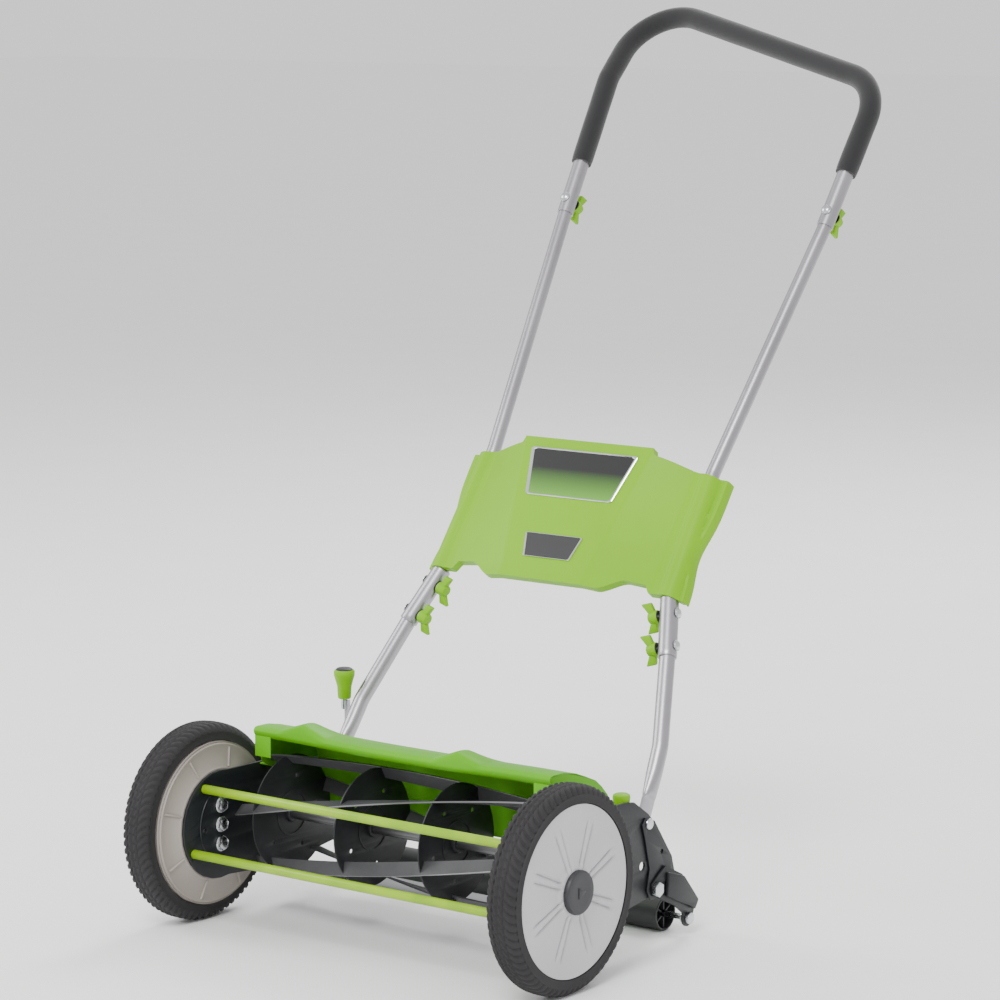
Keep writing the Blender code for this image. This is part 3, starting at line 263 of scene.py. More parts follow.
# Acetal gear and washer plastic, moulded: near black, waxy.
ACETAL = mottled("black_acetal", 0x1D1D1F, 0x2A2A2C, 0.5 * MM, 0.42, 0.06, 0.2)
# Nitrile foam grip, extruded and skinned: dull charcoal. Its cells are drawn at 1.2 mm,
# coarser than real ones, so that they show.
FOAM = cellular("skinned_nitrile_foam", 0x1E1E20, 0x131315, 1.2 * MM, 0.9, 0.35, Sheen_Weight=0.25)
# PVC roller tube, extruded: black, with a dull fine grain.
ROLLER_BLACK = mottled("extruded_black_pvc", 0x202123, 0x2C2D2F, 0.8 * MM, 0.46, 0.08, 0.3)
LABEL = badge_print()


# ---------------------------------------------------------------- mesh helpers
@contextmanager
def edited(mesh):
    """Opens a mesh for editing and writes it back."""
    shape = bmesh.new()
    shape.from_mesh(mesh)
    yield shape
    shape.to_mesh(mesh)
    shape.free()


def close_holes(shape):
    bmesh.ops.holes_fill(shape, edges=[edge for edge in shape.edges if edge.is_boundary], sides=0)


def flipped(profile, sign):
    """The profile for the left (-1) or right (1) side."""
    return [(sign * x, radius) for x, radius in profile]


def add_piece(name, mesh, paint):
    obj = bpy.data.objects.new(name, mesh)
    bpy.context.scene.collection.objects.link(obj)
    mesh.materials.clear()
    mesh.materials.append(paint)
    return obj


def settle(obj, sharp=35):
    """Merges doubled points, turns the faces outwards and smooths all but the sharp edges."""
    with edited(obj.data) as shape:
        bmesh.ops.remove_doubles(shape, verts=shape.verts, dist=0.000002)
        bmesh.ops.dissolve_degenerate(shape, edges=shape.edges, dist=0.000001)
        bmesh.ops.recalc_face_normals(shape, faces=shape.faces)
    obj.data.shade_smooth()
    obj.data.set_sharp_from_angle(angle=radians(sharp))
    return obj


def bake(obj):
    """Applies the object's modifiers and its place to its mesh."""
    graph = bpy.context.evaluated_depsgraph_get()
    graph.update()
    mesh = bpy.data.meshes.new_from_object(obj.evaluated_get(graph))
    obj.modifiers.clear()
    obj.data = mesh
    mesh.transform(obj.matrix_world)
    obj.matrix_world = Matrix.Identity(4)
    return obj


def rounded(obj, width, segments=2, angle=30):
    edge = obj.modifiers.new("rounded", "BEVEL")
    edge.width = width
    edge.segments = segments
    edge.limit_method = "ANGLE"
    edge.angle_limit = radians(angle)
    return settle(bake(obj))


def thickened(obj, thickness, offset=-1.0):
    wall = obj.modifiers.new("wall", "SOLIDIFY")
    wall.thickness = thickness
    wall.offset = offset
    return bake(obj)


def skin(name, rows, columns, point, paint, wrap_rows=False, wrap_columns=False, sharp=35):
    """A surface through point(row, column) with shares from 0 to 1, closed where it wraps."""
    mesh = bpy.data.meshes.new(name)
    last_row = rows if wrap_rows else rows - 1
    last_column = columns if wrap_columns else columns - 1
    points = [point(i / last_row, j / last_column) for i in range(rows) for j in range(columns)]
    faces = []
    for i in range(last_row):
        for j in range(last_column):
            below = (i + 1) % rows
            beside = (j + 1) % columns
            here, there = i * columns, below * columns
            faces.append((here + j, here + beside, there + beside, there + j))
    mesh.from_pydata(points, [], faces)
    return settle(add_piece(name, mesh, paint), sharp)


def turned(name, profile, paint, centre, steps=96, sharp=35):
    """Solid of revolution about X. profile holds (x, radius), round an outline or from axis to axis."""
    closed = profile[0][1] > 0
    outline = profile + profile[:1] if closed else profile

    def point(i, j):
        x, radius = outline[round(i * (len(outline) - 1))]
        return (x, centre.y + radius * cos(2 * pi * j), centre.z + radius * sin(2 * pi * j))

    return skin(name, len(outline), steps, point, paint, wrap_columns=True, sharp=sharp)


def sweep(name, path, half_sizes, paint, sides=28, side_axis=Vector((1, 0, 0))):
    """A rod along a path with flat ends. half_sizes(share) gives half its size along side_axis and across."""
    mesh = bpy.data.meshes.new(name)
    points = []
    count = len(path)
    for i, place in enumerate(path):
        run = (path[min(i + 1, count - 1)] - path[max(i - 1, 0)]).normalized()
        side = (side_axis - run * side_axis.dot(run)).normalized()
        other = run.cross(side)
        wide, deep = half_sizes(i / (count - 1))
        for j in range(sides):
            turn = 2 * pi * j / sides
            points.append(place + side * wide * cos(turn) + other * deep * sin(turn))
    faces = [
        (i * sides + j, i * sides + (j + 1) % sides, (i + 1) * sides + (j + 1) % sides, (i + 1) * sides + j)
        for i in range(count - 1)
        for j in range(sides)
    ]
    faces.append(tuple(range(sides)))
    faces.append(tuple(range((count - 1) * sides, count * sides)))
    mesh.from_pydata(points, [], faces)
    return settle(add_piece(name, mesh, paint), 50)


def filleted(points, radius, steps=10):
    """The same path with its inner corners rounded by arcs."""
    path = [points[0]]
    for before, corner, after in zip(points, points[1:], points[2:]):
        to_before = (before - corner).normalized()
        to_after = (after - corner).normalized()
        half = to_before.angle(to_after) / 2
        reach = radius / tan(half)
        middle = corner + (to_before + to_after).normalized() * radius / sin(half)
        first = corner + to_before * reach - middle
        last = corner + to_after * reach - middle
        bend = first.angle(last)
        for i in range(steps + 1):
            turn = bend * i / steps
            path.append(middle + (first * sin(bend - turn) + last * sin(turn)) / sin(bend))
    return path + [points[-1]]


def arc(centre, radius, start, sweep_angle, count=9):
    """Points (y, z) along an arc, angles in degrees."""
    return [
        (
            centre[0] + radius * cos(radians(start + sweep_angle * i / (count - 1))),
            centre[1] + radius * sin(radians(start + sweep_angle * i / (count - 1))),
        )
        for i in range(count)
    ]


def sheet_plate(name, outlines, near, far, paint, edge=0.4 * MM):
    """Flat piece with (y, z) outlines between two distances along X; outlines after the first are holes."""
    curve = bpy.data.curves.new(name, "CURVE")
    curve.dimensions = "2D"
    curve.fill_mode = "BOTH"
    curve.extrude = abs(far - near) / 2
    for outline in outlines:
        spline = curve.splines.new("POLY")
        spline.points.add(len(outline) - 1)
        for point, (y, z) in zip(spline.points, outline):
            point.co = (y, z, 0.0, 1.0)
        spline.use_cyclic_u = True
    drawn = bpy.data.objects.new(name + "_outline", curve)
    bpy.context.scene.collection.objects.link(drawn)
    graph = bpy.context.evaluated_depsgraph_get()
    graph.update()
    mesh = bpy.data.meshes.new_from_object(drawn.evaluated_get(graph))
    bpy.data.objects.remove(drawn)
    obj = settle(add_piece(name, mesh, paint))
    middle = Matrix.Translation(((near + far) / 2, 0.0, 0.0))
    obj.matrix_world = middle @ Matrix.Rotation(pi / 2, 4, "Z") @ Matrix.Rotation(pi / 2, 4, "X")
    return rounded(obj, edge)


def block(name, low, high, paint, edge=0.5 * MM, segments=3):
    mesh = bpy.data.meshes.new(name)
    with edited(mesh) as shape:
        bmesh.ops.create_cube(shape, size=1.0)
        bmesh.ops.scale(shape, vec=[h - l for l, h in zip(low, high)], verts=shape.verts)
        bmesh.ops.translate(shape, vec=[(h + l) / 2 for l, h in zip(low, high)], verts=shape.verts)
    return rounded(add_piece(name, mesh, paint), edge, segments)


def joined(name, *pieces):
    """One piece from several, each keeping its own material."""
    shape = bmesh.new()
    mesh = bpy.data.meshes.new(name)
    paints = []
    for part in pieces:
        first = len(shape.faces)
        shape.from_mesh(part.data)
        shape.faces.ensure_lookup_table()
        for paint in part.data.materials:
            if paint not in paints:
                paints.append(paint)
        slots = [paints.index(paint) for paint in part.data.materials]
        for face in shape.faces[first:]:
            face.material_index = slots[min(face.material_index, len(slots) - 1)]
    shape.to_mesh(mesh)
    shape.free()
    for part in pieces:
        bpy.data.objects.remove(part)
    obj = bpy.data.objects.new(name, mesh)
    bpy.context.scene.collection.objects.link(obj)
    for paint in paints:
        mesh.materials.append(paint)
    return obj


def refined(node_name, paint, edge=0.4 * MM):
    """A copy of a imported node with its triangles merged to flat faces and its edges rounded."""
    source = frame["nodes"][node_name]
    obj = add_piece(node_name + "_finished", source.data.copy(), paint)
    with edited(obj.data) as shape:
        bmesh.ops.remove_doubles(shape, verts=shape.verts, dist=0.00001)
        bmesh.ops.dissolve_limit(shape, angle_limit=radians(1), verts=shape.verts, edges=shape.edges)
    return rounded(obj, edge, 2, 40)


def place_along(obj, start, direction):
    """Turns a piece made along +Z so that it starts at a point and runs in a direction, in its mesh."""
    turn = Vector(direction).to_track_quat("Z", "Y").to_matrix().to_4x4()
    obj.data.transform(Matrix.Translation(start) @ turn)
    return obj


def turned_up(name, profile, paint, start, direction, steps=32):
    """Solid of revolution along a direction. profile holds (distance, radius)."""
    obj = turned(name, profile, paint, Vector((0, 0, 0)), steps)
    obj.data.transform(Matrix.Rotation(-pi / 2, 4, "Y"))
    return place_along(obj, start, direction)


def finish_piece(obj, body, slot, *nodes):
    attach(obj, body)
    if nodes:
        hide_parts(*nodes)
    return obj


# ---------------------------------------------------------------- repeated pieces by Geometry Nodes
def copies_tree(name, about_axis):
    """Copies an object round the X axis, or to every point of the carrier mesh, and gives it a material."""
    tree = bpy.data.node_groups.new(name, "GeometryNodeTree")
    inputs = {"Geometry": "Geometry", "Item": "Object", "Count": "Int", "Turn": "Float", "Finish": "Material"}
    for label, kind in inputs.items():
        tree.interface.new_socket(label, in_out="INPUT", socket_type="NodeSocket" + kind)
    tree.interface.new_socket("Geometry", in_out="OUTPUT", socket_type="NodeSocketGeometry")
    given = node(tree, "NodeGroupInput").outputs
    item = node(tree, "GeometryNodeObjectInfo", {"Object": given["Item"]})
    if about_axis:
        places = node(tree, "GeometryNodePoints", {"Count": given["Count"]}).outputs[0]
        index = node(tree, "GeometryNodeInputIndex").outputs[0]
        step = node(tree, "ShaderNodeMath", {0: 2 * pi, 1: given["Count"]}, operation="DIVIDE").outputs[0]
        terms = {0: index, 1: step, 2: given["Turn"]}
        turned_by = node(tree, "ShaderNodeMath", terms, operation="MULTIPLY_ADD").outputs[0]
        spin = node(tree, "ShaderNodeCombineXYZ", {"X": turned_by}).outputs[0]
    else:
        places = node(tree, "GeometryNodeMeshToPoints", {"Mesh": given["Geometry"]}).outputs[0]
        spin = node(tree, "ShaderNodeCombineXYZ", {"X": given["Turn"]}).outputs[0]
    placed = {"Points": places, "Instance": item.outputs["Geometry"], "Rotation": spin}
    copies = node(tree, "GeometryNodeInstanceOnPoints", placed).outputs[0]
    solid = node(tree, "GeometryNodeRealizeInstances", {"Geometry": copies}).outputs[0]
    finished = {"Geometry": solid, "Material": given["Finish"]}
    painted = node(tree, "GeometryNodeSetMaterial", finished).outputs[0]
    node(tree, "NodeGroupOutput", {"Geometry": painted})
    return tree


ROUND_COPIES = copies_tree("copies_round_axis", True)
POINT_COPIES = copies_tree("copies_on_points", False)


def copied(name, tree, item, paint, places=((0, 0, 0),), count=1, turn=0.0):
    """Runs one of the copy trees on a mesh of points, and returns its result as a plain mesh."""
    mesh = bpy.data.meshes.new(name)
    mesh.from_pydata([tuple(place) for place in places], [], [])
    obj = add_piece(name, mesh, paint)
    nodes = obj.modifiers.new("copies", "NODES")
    nodes.node_group = tree
    given = {"Item": item, "Count": count, "Turn": turn, "Finish": paint}
    for socket in tree.interface.items_tree:
        if socket.in_out == "INPUT" and socket.name in given:
            nodes[socket.identifier] = given[socket.name]
    bake(obj)
    bpy.data.objects.remove(item)
    obj.data.materials.clear()
    obj.data.materials.append(paint)
    return settle(obj)


def round_axis(obj, centre):
    obj.data.transform(Matrix.Translation((0, centre.y, centre.z)))
    return obj


def share_of(value, low, high):
    """How far a value is from low to high, from 0 to 1."""
    return min(max((value - low) / (high - low), 0.0), 1.0)


def smooth(value, low, high):
    share = share_of(value, low, high)
    return share * share * (3 - 2 * share)


# ---------------------------------------------------------------- wheels
def tyre(side, sign):
    """Carcass with three grooves round it and curved sipes that run out to notches at the shoulders."""
    low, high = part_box(f"tyre_{side}")
    inner, outer = sorted((abs(low.x), abs(high.x)))
    middle, half = (inner + outer) / 2, (outer - inner) / 2
    radius = WHEEL.z
    bead = radius - 21.6 * MM
    sidewall = 0.12
    grooves, groove_half_width, groove_depth = (-0.36, 0.0, 0.36), 0.05, 2.0
    sipes, sipe_half_width, sipe_depth, notch_depth = 72, 0.19, 1.5, 1.7
    columns = sipes * 8

    def outline(v):
        """(side to side share, radius) round the closed section."""
        if v < 0.12:
            return -1 + 0.03 * sin(pi * v / 0.12), bead + (v / 0.12) * 11 * MM
        if v < 0.88:
            turn = pi * (v - 0.12) / 0.76
            across = -cos(turn)
            flat = abs(across) ** 3.2
            wall = bead + 11 * MM
            return across * (1.0 - 0.02 * flat), wall + (radius - wall) * (1 - flat) ** 0.55
        return 1 - 0.03 * sin(pi * (1 - v) / 0.12), bead + ((1 - v) / 0.12) * 11 * MM

    def point(v, u):
        across, reach = outline(v)
        turn = 2 * pi * u
        width = abs(across)
        depth = 0.0
        if sidewall <= v <= 1 - sidewall:
            for groove in grooves:
                depth = max(depth, exp(-(((across - groove) / groove_half_width) ** 4)) * groove_depth)
            lean = 3.0 * (1 - width) ** 2 * (1 if across > 0 else -1)
            cycle = (u * sipes + lean) % 1.0
            cut = exp(-(((cycle - 0.5) / sipe_half_width) ** 4)) * smooth(width, 0.02, 0.12)
            depth = max(depth, cut * (sipe_depth + notch_depth * smooth(width, 0.5, 0.9)))
        reach -= depth * MM
        return (
            sign * (middle + half * across),
            WHEEL.y + reach * cos(turn),
            WHEEL.z + reach * sin(turn),
        )

    body = skin(f"tyre_tread_{side}", 60, columns, point, RUBBER, wrap_columns=True, sharp=60)
    near, far = sign * (inner + 0.6 * MM), sign * (outer - 0.6 * MM)
    ring = [(near, bead), (near, bead + 1.5 * MM), (far, bead + 1.5 * MM), (far, bead)]
    low_ring = turned(f"tyre_bead_{side}", ring, RUBBER, WHEEL)
    tread = joined(f"tyre_{side}_tread", body, low_ring)
    finish_piece(tread, f"wheel_{side}", "tyre_rubber", f"tyre_{side}")


def wheel_cover(side, sign):
    """Dished cover with eight embossed spokes, each a raised bar between two tapering grooves."""
    low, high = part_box(f"wheel_cover_{side}")
    seat = min(abs(low.x), abs(high.x))
    rim = (high.z - low.z) / 2
    hub = 12 * MM
    groove_half_width, groove_depth = 2.3 * MM, 3.2
    bar_height, dome_height, collar_height, lip_height = 0.9, 1.8, 1.6, 0.5

    def face(radius, turn):
        spoke = (turn / (pi / 4)) % 1.0 - 0.5
        lateral = abs(radius * sin(spoke * pi / 4))
        spread = 3.4 * MM + 0.035 * max(radius - 30 * MM, 0)
        fade = smooth(radius, 0.026, 0.032) * (1 - smooth(radius, 0.074, 0.092))
        groove = exp(-(((lateral - spread) / groove_half_width) ** 2)) * groove_depth
        bar = (1 - smooth(lateral, spread - 2 * MM, spread)) * bar_height
        dome = dome_height * (1 - (radius / rim) ** 2)
        collar = collar_height * (1 - smooth(radius, 0.028, 0.036))
        lip = lip_height * smooth(radius, rim - 2.2 * MM, rim - 1.2 * MM)
        return (dome + collar + lip + fade * (bar - groove)) * MM

    def point(i, j):
        radius = hub + (rim - hub) * i
        turn = 2 * pi * j
        x = sign * (seat + 1.0 * MM + face(radius, turn))
        return (x, WHEEL.y + radius * cos(turn), WHEEL.z + radius * sin(turn))

    front = skin(f"cover_face_{side}", 56, 576, point, COVER_GREY, wrap_columns=True)
    cover = settle(thickened(front, 1.2 * MM, 1.0))
    cover.name = f"wheel_cover_{side}_spoked"
    finish_piece(cover, f"wheel_{side}", "cover_plastic", f"wheel_cover_{side}")


def hub_cap(side, sign):
    """Domed cap with a raised dark triangle."""
    low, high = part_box(f"hub_cap_{side}")
    top = max(abs(low.x), abs(high.x))
    radius = (high.z - low.z) / 2
    profile = [(top - 14 * MM, 0.0), (top - 14 * MM, radius - 1.2 * MM), (top - 5 * MM, radius)]
    profile += [(top - 3.2 * MM, radius - 0.3 * MM), (top - 1.6 * MM, radius - 1.6 * MM)]
    profile += [(top - 1.0 * MM, radius - 4.0 * MM), (top - 1.3 * MM, radius * 0.6), (top - 1.5 * MM, 0.0)]
    dome = turned(f"cap_dome_{side}", flipped(profile, sign), CHARCOAL, WHEEL, 96)
    arrow = [(WHEEL.y + y * MM, WHEEL.z + z * MM) for y, z in ((9, 0), (-5, 7), (-5, -7))]
    emboss = sheet_plate(
        f"cap_arrow_{side}", [arrow], sign * (top - 2.0 * MM), sign * (top - 0.4 * MM), ACETAL, 0.5 * MM
    )
    cap = joined(f"hub_cap_{side}_moulded", dome, emboss)
    finish_piece(cap, f"wheel_{side}", "hub_plastic", f"hub_cap_{side}")


def gear_shield(side, sign):
    """Stationary dish inside the wheel: stepped lip and eight ribs, open where the reel shaft passes."""
    low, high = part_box(f"gear_shield_{side}")
    near, far = sorted((abs(low.x), abs(high.x)))
    rim = (high.z - low.z) / 2
    wall = 1.3 * MM
    profile = [(near, 36 * MM), (near, 71.5 * MM), (near + 2 * MM, 74 * MM), (far - 3.4 * MM, 97.0 * MM)]
    profile += [(far - 4.4 * MM, 99.5 * MM), (far - 4.4 * MM, 101.5 * MM), (far - 2 * MM, 102.5 * MM)]
    profile += [(far - 3.0 * MM, rim), (far, rim), (far, 98 * MM), (near + 2 * MM + wall, 75.5 * MM)]
    profile += [(near + wall, 72 * MM), (near + wall, 36 * MM)]
    dish = turned(f"shield_dish_{side}", flipped(profile, sign), WHEEL_GREY, WHEEL, 144)
    start, end = sign * (near - 20 * MM), sign * (far + 20 * MM)
    bar = [(start, 0.0), (start, 13 * MM), (end, 13 * MM), (end, 0.0)]
    cutter = turned("shaft_hole", bar, WHEEL_GREY, REEL, 48)
    hole = dish.modifiers.new("hole", "BOOLEAN")
    hole.object = cutter
    hole.operation = "DIFFERENCE"
    bake(dish)
    bpy.data.objects.remove(cutter)
    foot = Vector((sign * (near + 1.6 * MM), 73 * MM, 0))
    head = Vector((sign * (far - 4.0 * MM), 98 * MM, 0))
    rib = sweep("rib", [foot, head], lambda _: (1.9 * MM, 1.6 * MM), WHEEL_GREY, 12)
    ribs = copied(f"shield_ribs_{side}", ROUND_COPIES, rib, WHEEL_GREY, count=8, turn=0.49)
    shield = joined(f"gear_shield_{side}_ribbed", settle(dish), round_axis(ribs, WHEEL))
    finish_piece(shield, "chassis", "wheel_plastic", f"gear_shield_{side}")


# ---------------------------------------------------------------- reel, rods and knife
DISC_SPACING = 0.1335


def around(x, half):
    """Profile mirrored about a place along X, from one half of it as (distance, radius)."""
    return [(x - distance, radius) for distance, radius in half] + [
        (x + distance, radius) for distance, radius in reversed(half)
    ]


def reel():
    """Shaft with four stamped discs, each with small holes, and the five twisted blades."""
    low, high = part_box("reel_shaft")
    end = high.x
    bar = [(-end, 0.0), (-end, 7 * MM), (-end + 0.5 * MM, 7.5 * MM), (end - 0.5 * MM, 7.5 * MM)]
    shaft = turned("shaft_bar", bar + [(end, 7 * MM), (end, 0.0)], GROUND_STEEL, REEL, 48)
    disc_radius = (high.z - low.z) / 2
    for step in (-1.5, -0.5, 0.5, 1.5):
        x = step * DISC_SPACING
        outlines = [arc((REEL.y, REEL.z), disc_radius, 0, 360 * 95 / 96, 96)]
        for k in range(5):
            turn = radians(20 + 72 * k) + step
            centre = (REEL.y + 48 * MM * cos(turn), REEL.z + 48 * MM * sin(turn))
            outlines.append(arc(centre, 3 * MM, 0, 330, 12))
        disc = sheet_plate("disc", outlines, x - 0.9 * MM, x + 0.9 * MM, REEL_PAINT, 0.3 * MM)
        half = [(6 * MM, 0.0), (6 * MM, 11 * MM), (5 * MM, 12 * MM)]
        boss = turned("boss", around(x, half), REEL_PAINT, REEL, 36)
        swage = turned("swage", around(x, [(1.9 * MM, 27 * MM), (1.9 * MM, 29 * MM)]), REEL_PAINT, REEL, 60)
        shaft = joined("shaft_bar", shaft, disc, boss, swage)
    shaft.name = "reel_shaft_and_discs"
    finish_piece(shaft, "reel", "reel_paint", "reel_shaft")
    for index in range(5):
        blade(index)


def blade(index):
    """Strip with a ground outer edge, wound seventy-two degrees along the reel."""
    half_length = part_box(f"reel_blade_{index + 1}")[1].x
    outer, depth, lay, thick = 77.4 * MM, 12.5 * MM, radians(11), 1.1 * MM
    inner = Vector(((outer - depth) * cos(lay), (outer - depth) * sin(lay)))
    run = (inner - Vector((outer, 0))).normalized()
    side = Vector((-run.y, run.x)) * thick
    corners = [Vector((outer, 0)) - side, Vector((outer, 0)) + side, inner + side, inner - side]
    outline = []
    for a, b in zip(corners, corners[1:] + corners[:1]):
        outline += [a + (b - a) * 0.04, a + (b - a) * 0.5, a + (b - a) * 0.96]

    def point(i, j):
        x = half_length * (2 * i - 1)
        turn = -radians(41 + 72 * index) - radians(72) * x / (2 * half_length) + pi
        corner = outline[round(j * 12) % 12]
        return (
            x,
            REEL.y + corner.x * cos(turn) + corner.y * sin(turn),
            REEL.z + corner.x * sin(turn) - corner.y * cos(turn),
        )

    strip = skin(f"blade_{index + 1}", 60, 12, point, BLADE_GREY, wrap_columns=True, sharp=30)
    with edited(strip.data) as shape:
        close_holes(shape)
        bmesh.ops.recalc_face_normals(shape, faces=shape.faces)
        for face in shape.faces:
            middle = face.calc_center_median()
            if hypot(middle.y - REEL.y, middle.z - REEL.z) > outer - 1.2 * MM:
                face.material_index = 1
    strip.data.materials.append(GROUND_STEEL)
    strip.name = f"reel_blade_{index + 1}_ground"
    finish_piece(strip, "reel", "reel_paint", f"reel_blade_{index + 1}")


def tie_rods():
    """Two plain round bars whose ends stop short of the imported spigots."""
    for name in ("tie_rod_upper", "tie_rod_lower"):
        low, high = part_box(name)
        centre = (low + high) / 2
        radius = (high.z - low.z) / 2
        end = high.x - 3.8 * MM
        profile = [(-end, 0.0), (-end, radius - 0.4 * MM), (-end + 0.6 * MM, radius)]
        profile += [(end - 0.6 * MM, radius), (end, radius - 0.4 * MM), (end, 0.0)]
        rod = turned(name + "_bar", profile, ROD_LIME, centre, 48)
        finish_piece(rod, "chassis", "rod_paint", name)


# ---------------------------------------------------------------- deck
RIBS = (-0.156, 0.090)
RIB_HALF_WIDTH = 0.037
RIB_HEIGHT = 0.013


def deck():
    """Pressed cover: front lip, two raised ribs that fan out on top, rear shield and end cheeks."""
    half = 0.2345
    behind = WHEEL.y
    section = [(53, 231), (49.5, 234), (48, 236.5), (47.3, 239), (48, 241), (50, 242.6), (54, 243.4)]
    section += [(75, 243), (100, 239), (120, 232.5), (140, 225), (153, 215), (165, 203), (173, 186)]
    section += [(176.5, 168), (180, 120)]

    def outline(share):
        place = share * (len(section) - 1)
        index = min(int(place), len(section) - 2)
        part = place - index
        (y0, z0), (y1, z1) = section[index], section[index + 1]
        return (y0 + (y1 - y0) * part) * MM, (z0 + (z1 - z0) * part) * MM

    def point(i, j):
        x = half * (2 * j - 1)
        y, z = outline(i)
        rise = max(1 - abs(x - centre) / RIB_HALF_WIDTH for centre in RIBS)
        top = smooth(z, 0.236, 0.241) * (1 - smooth(y, 0.060, 0.125))
        z += max(rise, 0.0) * RIB_HEIGHT * top
        z += 3 * MM * smooth(abs(x), 0.03, 0.20) * (1 - smooth(y, 0.06, 0.15))
        return (x, behind + y, z)

    rows = 3 * (len(section) - 1) + 1
    cover = thickened(skin("deck_sheet", rows, 188, point, DECK_LIME, sharp=30), 1.3 * MM, 0.0)
    parts = [settle(cover, 30)]
    cheek = [(53, 233), (47.5, 242), (50, 245), (75, 245.5), (100, 239.5), (140, 225.5)]
    cheek += [(165, 203.5), (172, 186), (130, 190), (92, 187), (84, 188), (74, 192), (62, 199)]
    cheek = [(behind + y, z) for y, z in in_mm(*cheek)]
    for sign in (-1, 1):
        near, far = sorted((sign * (half - 1.4 * MM), sign * (half + 0.1 * MM)))
        parts.append(sheet_plate("cheek", [cheek], near, far, DECK_LIME))
        near, far = sorted((sign * (half - 26 * MM), sign * half))
        low, high = (near, behind + 0.0490, 0.2090), (far, behind + 0.0504, 0.2360)
        parts.append(block("flap", low, high, DECK_LIME))
        near, far = sorted((sign * (half - 1 * MM), sign * 0.2496))
        low, high = (near, behind + 0.075, 0.1915), (far, behind + 0.115, 0.1932)
        parts.append(block("foot", low, high, DECK_LIME))
    finish_piece(joined("deck_cover_pressed", *parts), "chassis", "deck_paint", "deck_cover")


# ---------------------------------------------------------------- handle
SEAM_LOW = (0.2085, 0.1056, 0.1865)
COVER_LOW = (0.1823, 0.1487, 0.2561)
COVER_TOP = (0.1774, 0.2519, 0.4013)
SEAM_UP = (0.2111, 0.4586, 0.7075)
CORNER_RIGHT = (0.222, 0.576, 0.890)
CORNER_LEFT = (-0.222, 0.679, 0.993)
LOOP_BEND = 0.070
LOWER_RADIUS = 10.4 * MM
MIDDLE_RADIUS = 9.5 * MM
SLEEVE_RADIUS = 12.3 * MM
LOOP_RADIUS = 11.1 * MM
GRIP_RADIUS = 14.7 * MM


def beside(offsets, sign):
    x, back, up = offsets
    return on_handle(sign * x, back, up)


def along(start, toward, distance):
    return start + (toward - start).normalized() * distance


def dense(path, spacing=6 * MM):
    """The path with points added so that none are further apart than the spacing."""
    points = [path[0]]
    for end in path[1:]:
        start = points[-1]
        parts = max(1, int((end - start).length / spacing))
        points += [start.lerp(end, (k + 1) / parts) for k in range(parts)]
    return points


def path_length(path):
    return sum((end - start).length for start, end in zip(path, path[1:]))


def lower_tube(side, sign):
    """Tube whose foot is pressed flat round the pivot pin."""
    foot = on_handle(sign * 0.2464, -0.006, -0.0105)
    press = on_handle(sign * 0.2462, 0.012, 0.028)
    bend = on_handle(sign * 0.2400, 0.0460, 0.0870)
    seam, above = beside(SEAM_LOW, sign), beside(COVER_LOW, sign)
    path = dense(filleted([foot, press, bend, seam, along(seam, above, 0.070)], 0.060))
    thin, wide = 2.4 * MM, 14.5 * MM
    length = path_length(path)

    def half_sizes(share):
        """Flat and rounded off at the foot, and a plain round tube further up."""
        run = share * length
        roundness = smooth(run, 0.035, 0.090)
        end = max(smooth(run, -0.004, 0.008) ** 0.5, 0.55)
        return thin + (LOWER_RADIUS - thin) * roundness, (wide + (LOWER_RADIUS - wide) * roundness) * end

    tube = sweep(f"lower_tube_{side}_pressed", path, half_sizes, TUBE)
    finish_piece(tube, "handle", "tube_steel", f"handle_tube_lower_{side}")


def middle_tube(side, sign):
    """Tube widened at its lower end to a sleeve round the lower tube."""
    low, bottom, top = beside(SEAM_LOW, sign), beside(COVER_LOW, sign), beside(COVER_TOP, sign)
    up, corner = beside(SEAM_UP, sign), beside(CORNER_RIGHT, sign)
    neck = along(low, bottom, 0.079)
    past_bottom = bottom + (bottom - low).normalized() * 2 * MM
    path = filleted([neck, past_bottom, top, up, along(up, corner, 0.045)], 0.05)
    path = dense([low, along(low, bottom, 0.8 * MM), along(low, bottom, 0.072)] + path)
    length = path_length(path)

    def half_sizes(share):
        run = share * length
        radius = SLEEVE_RADIUS - (SLEEVE_RADIUS - MIDDLE_RADIUS) * smooth(run, 0.073, 0.082)
        if run < 0.5 * MM:
            radius -= 0.4 * MM
        return radius, radius

    tube = sweep(f"middle_tube_{side}_drawn", path, half_sizes, TUBE)
    finish_piece(tube, "handle", "tube_steel", f"handle_tube_middle_{side}")


def loop_route(start_distance):
    """The loop's centre line, from a distance above the right seam to the same place on the left."""
    right = along(beside(SEAM_UP, 1), beside(CORNER_RIGHT, 1), start_distance)
    left = along(beside(SEAM_UP, -1), beside(CORNER_RIGHT, -1), start_distance)
    corners = [right, beside(CORNER_RIGHT, 1), on_handle(*CORNER_LEFT), beside(CORNER_RIGHT, -1), left]
    return dense(filleted(corners, LOOP_BEND, 14))


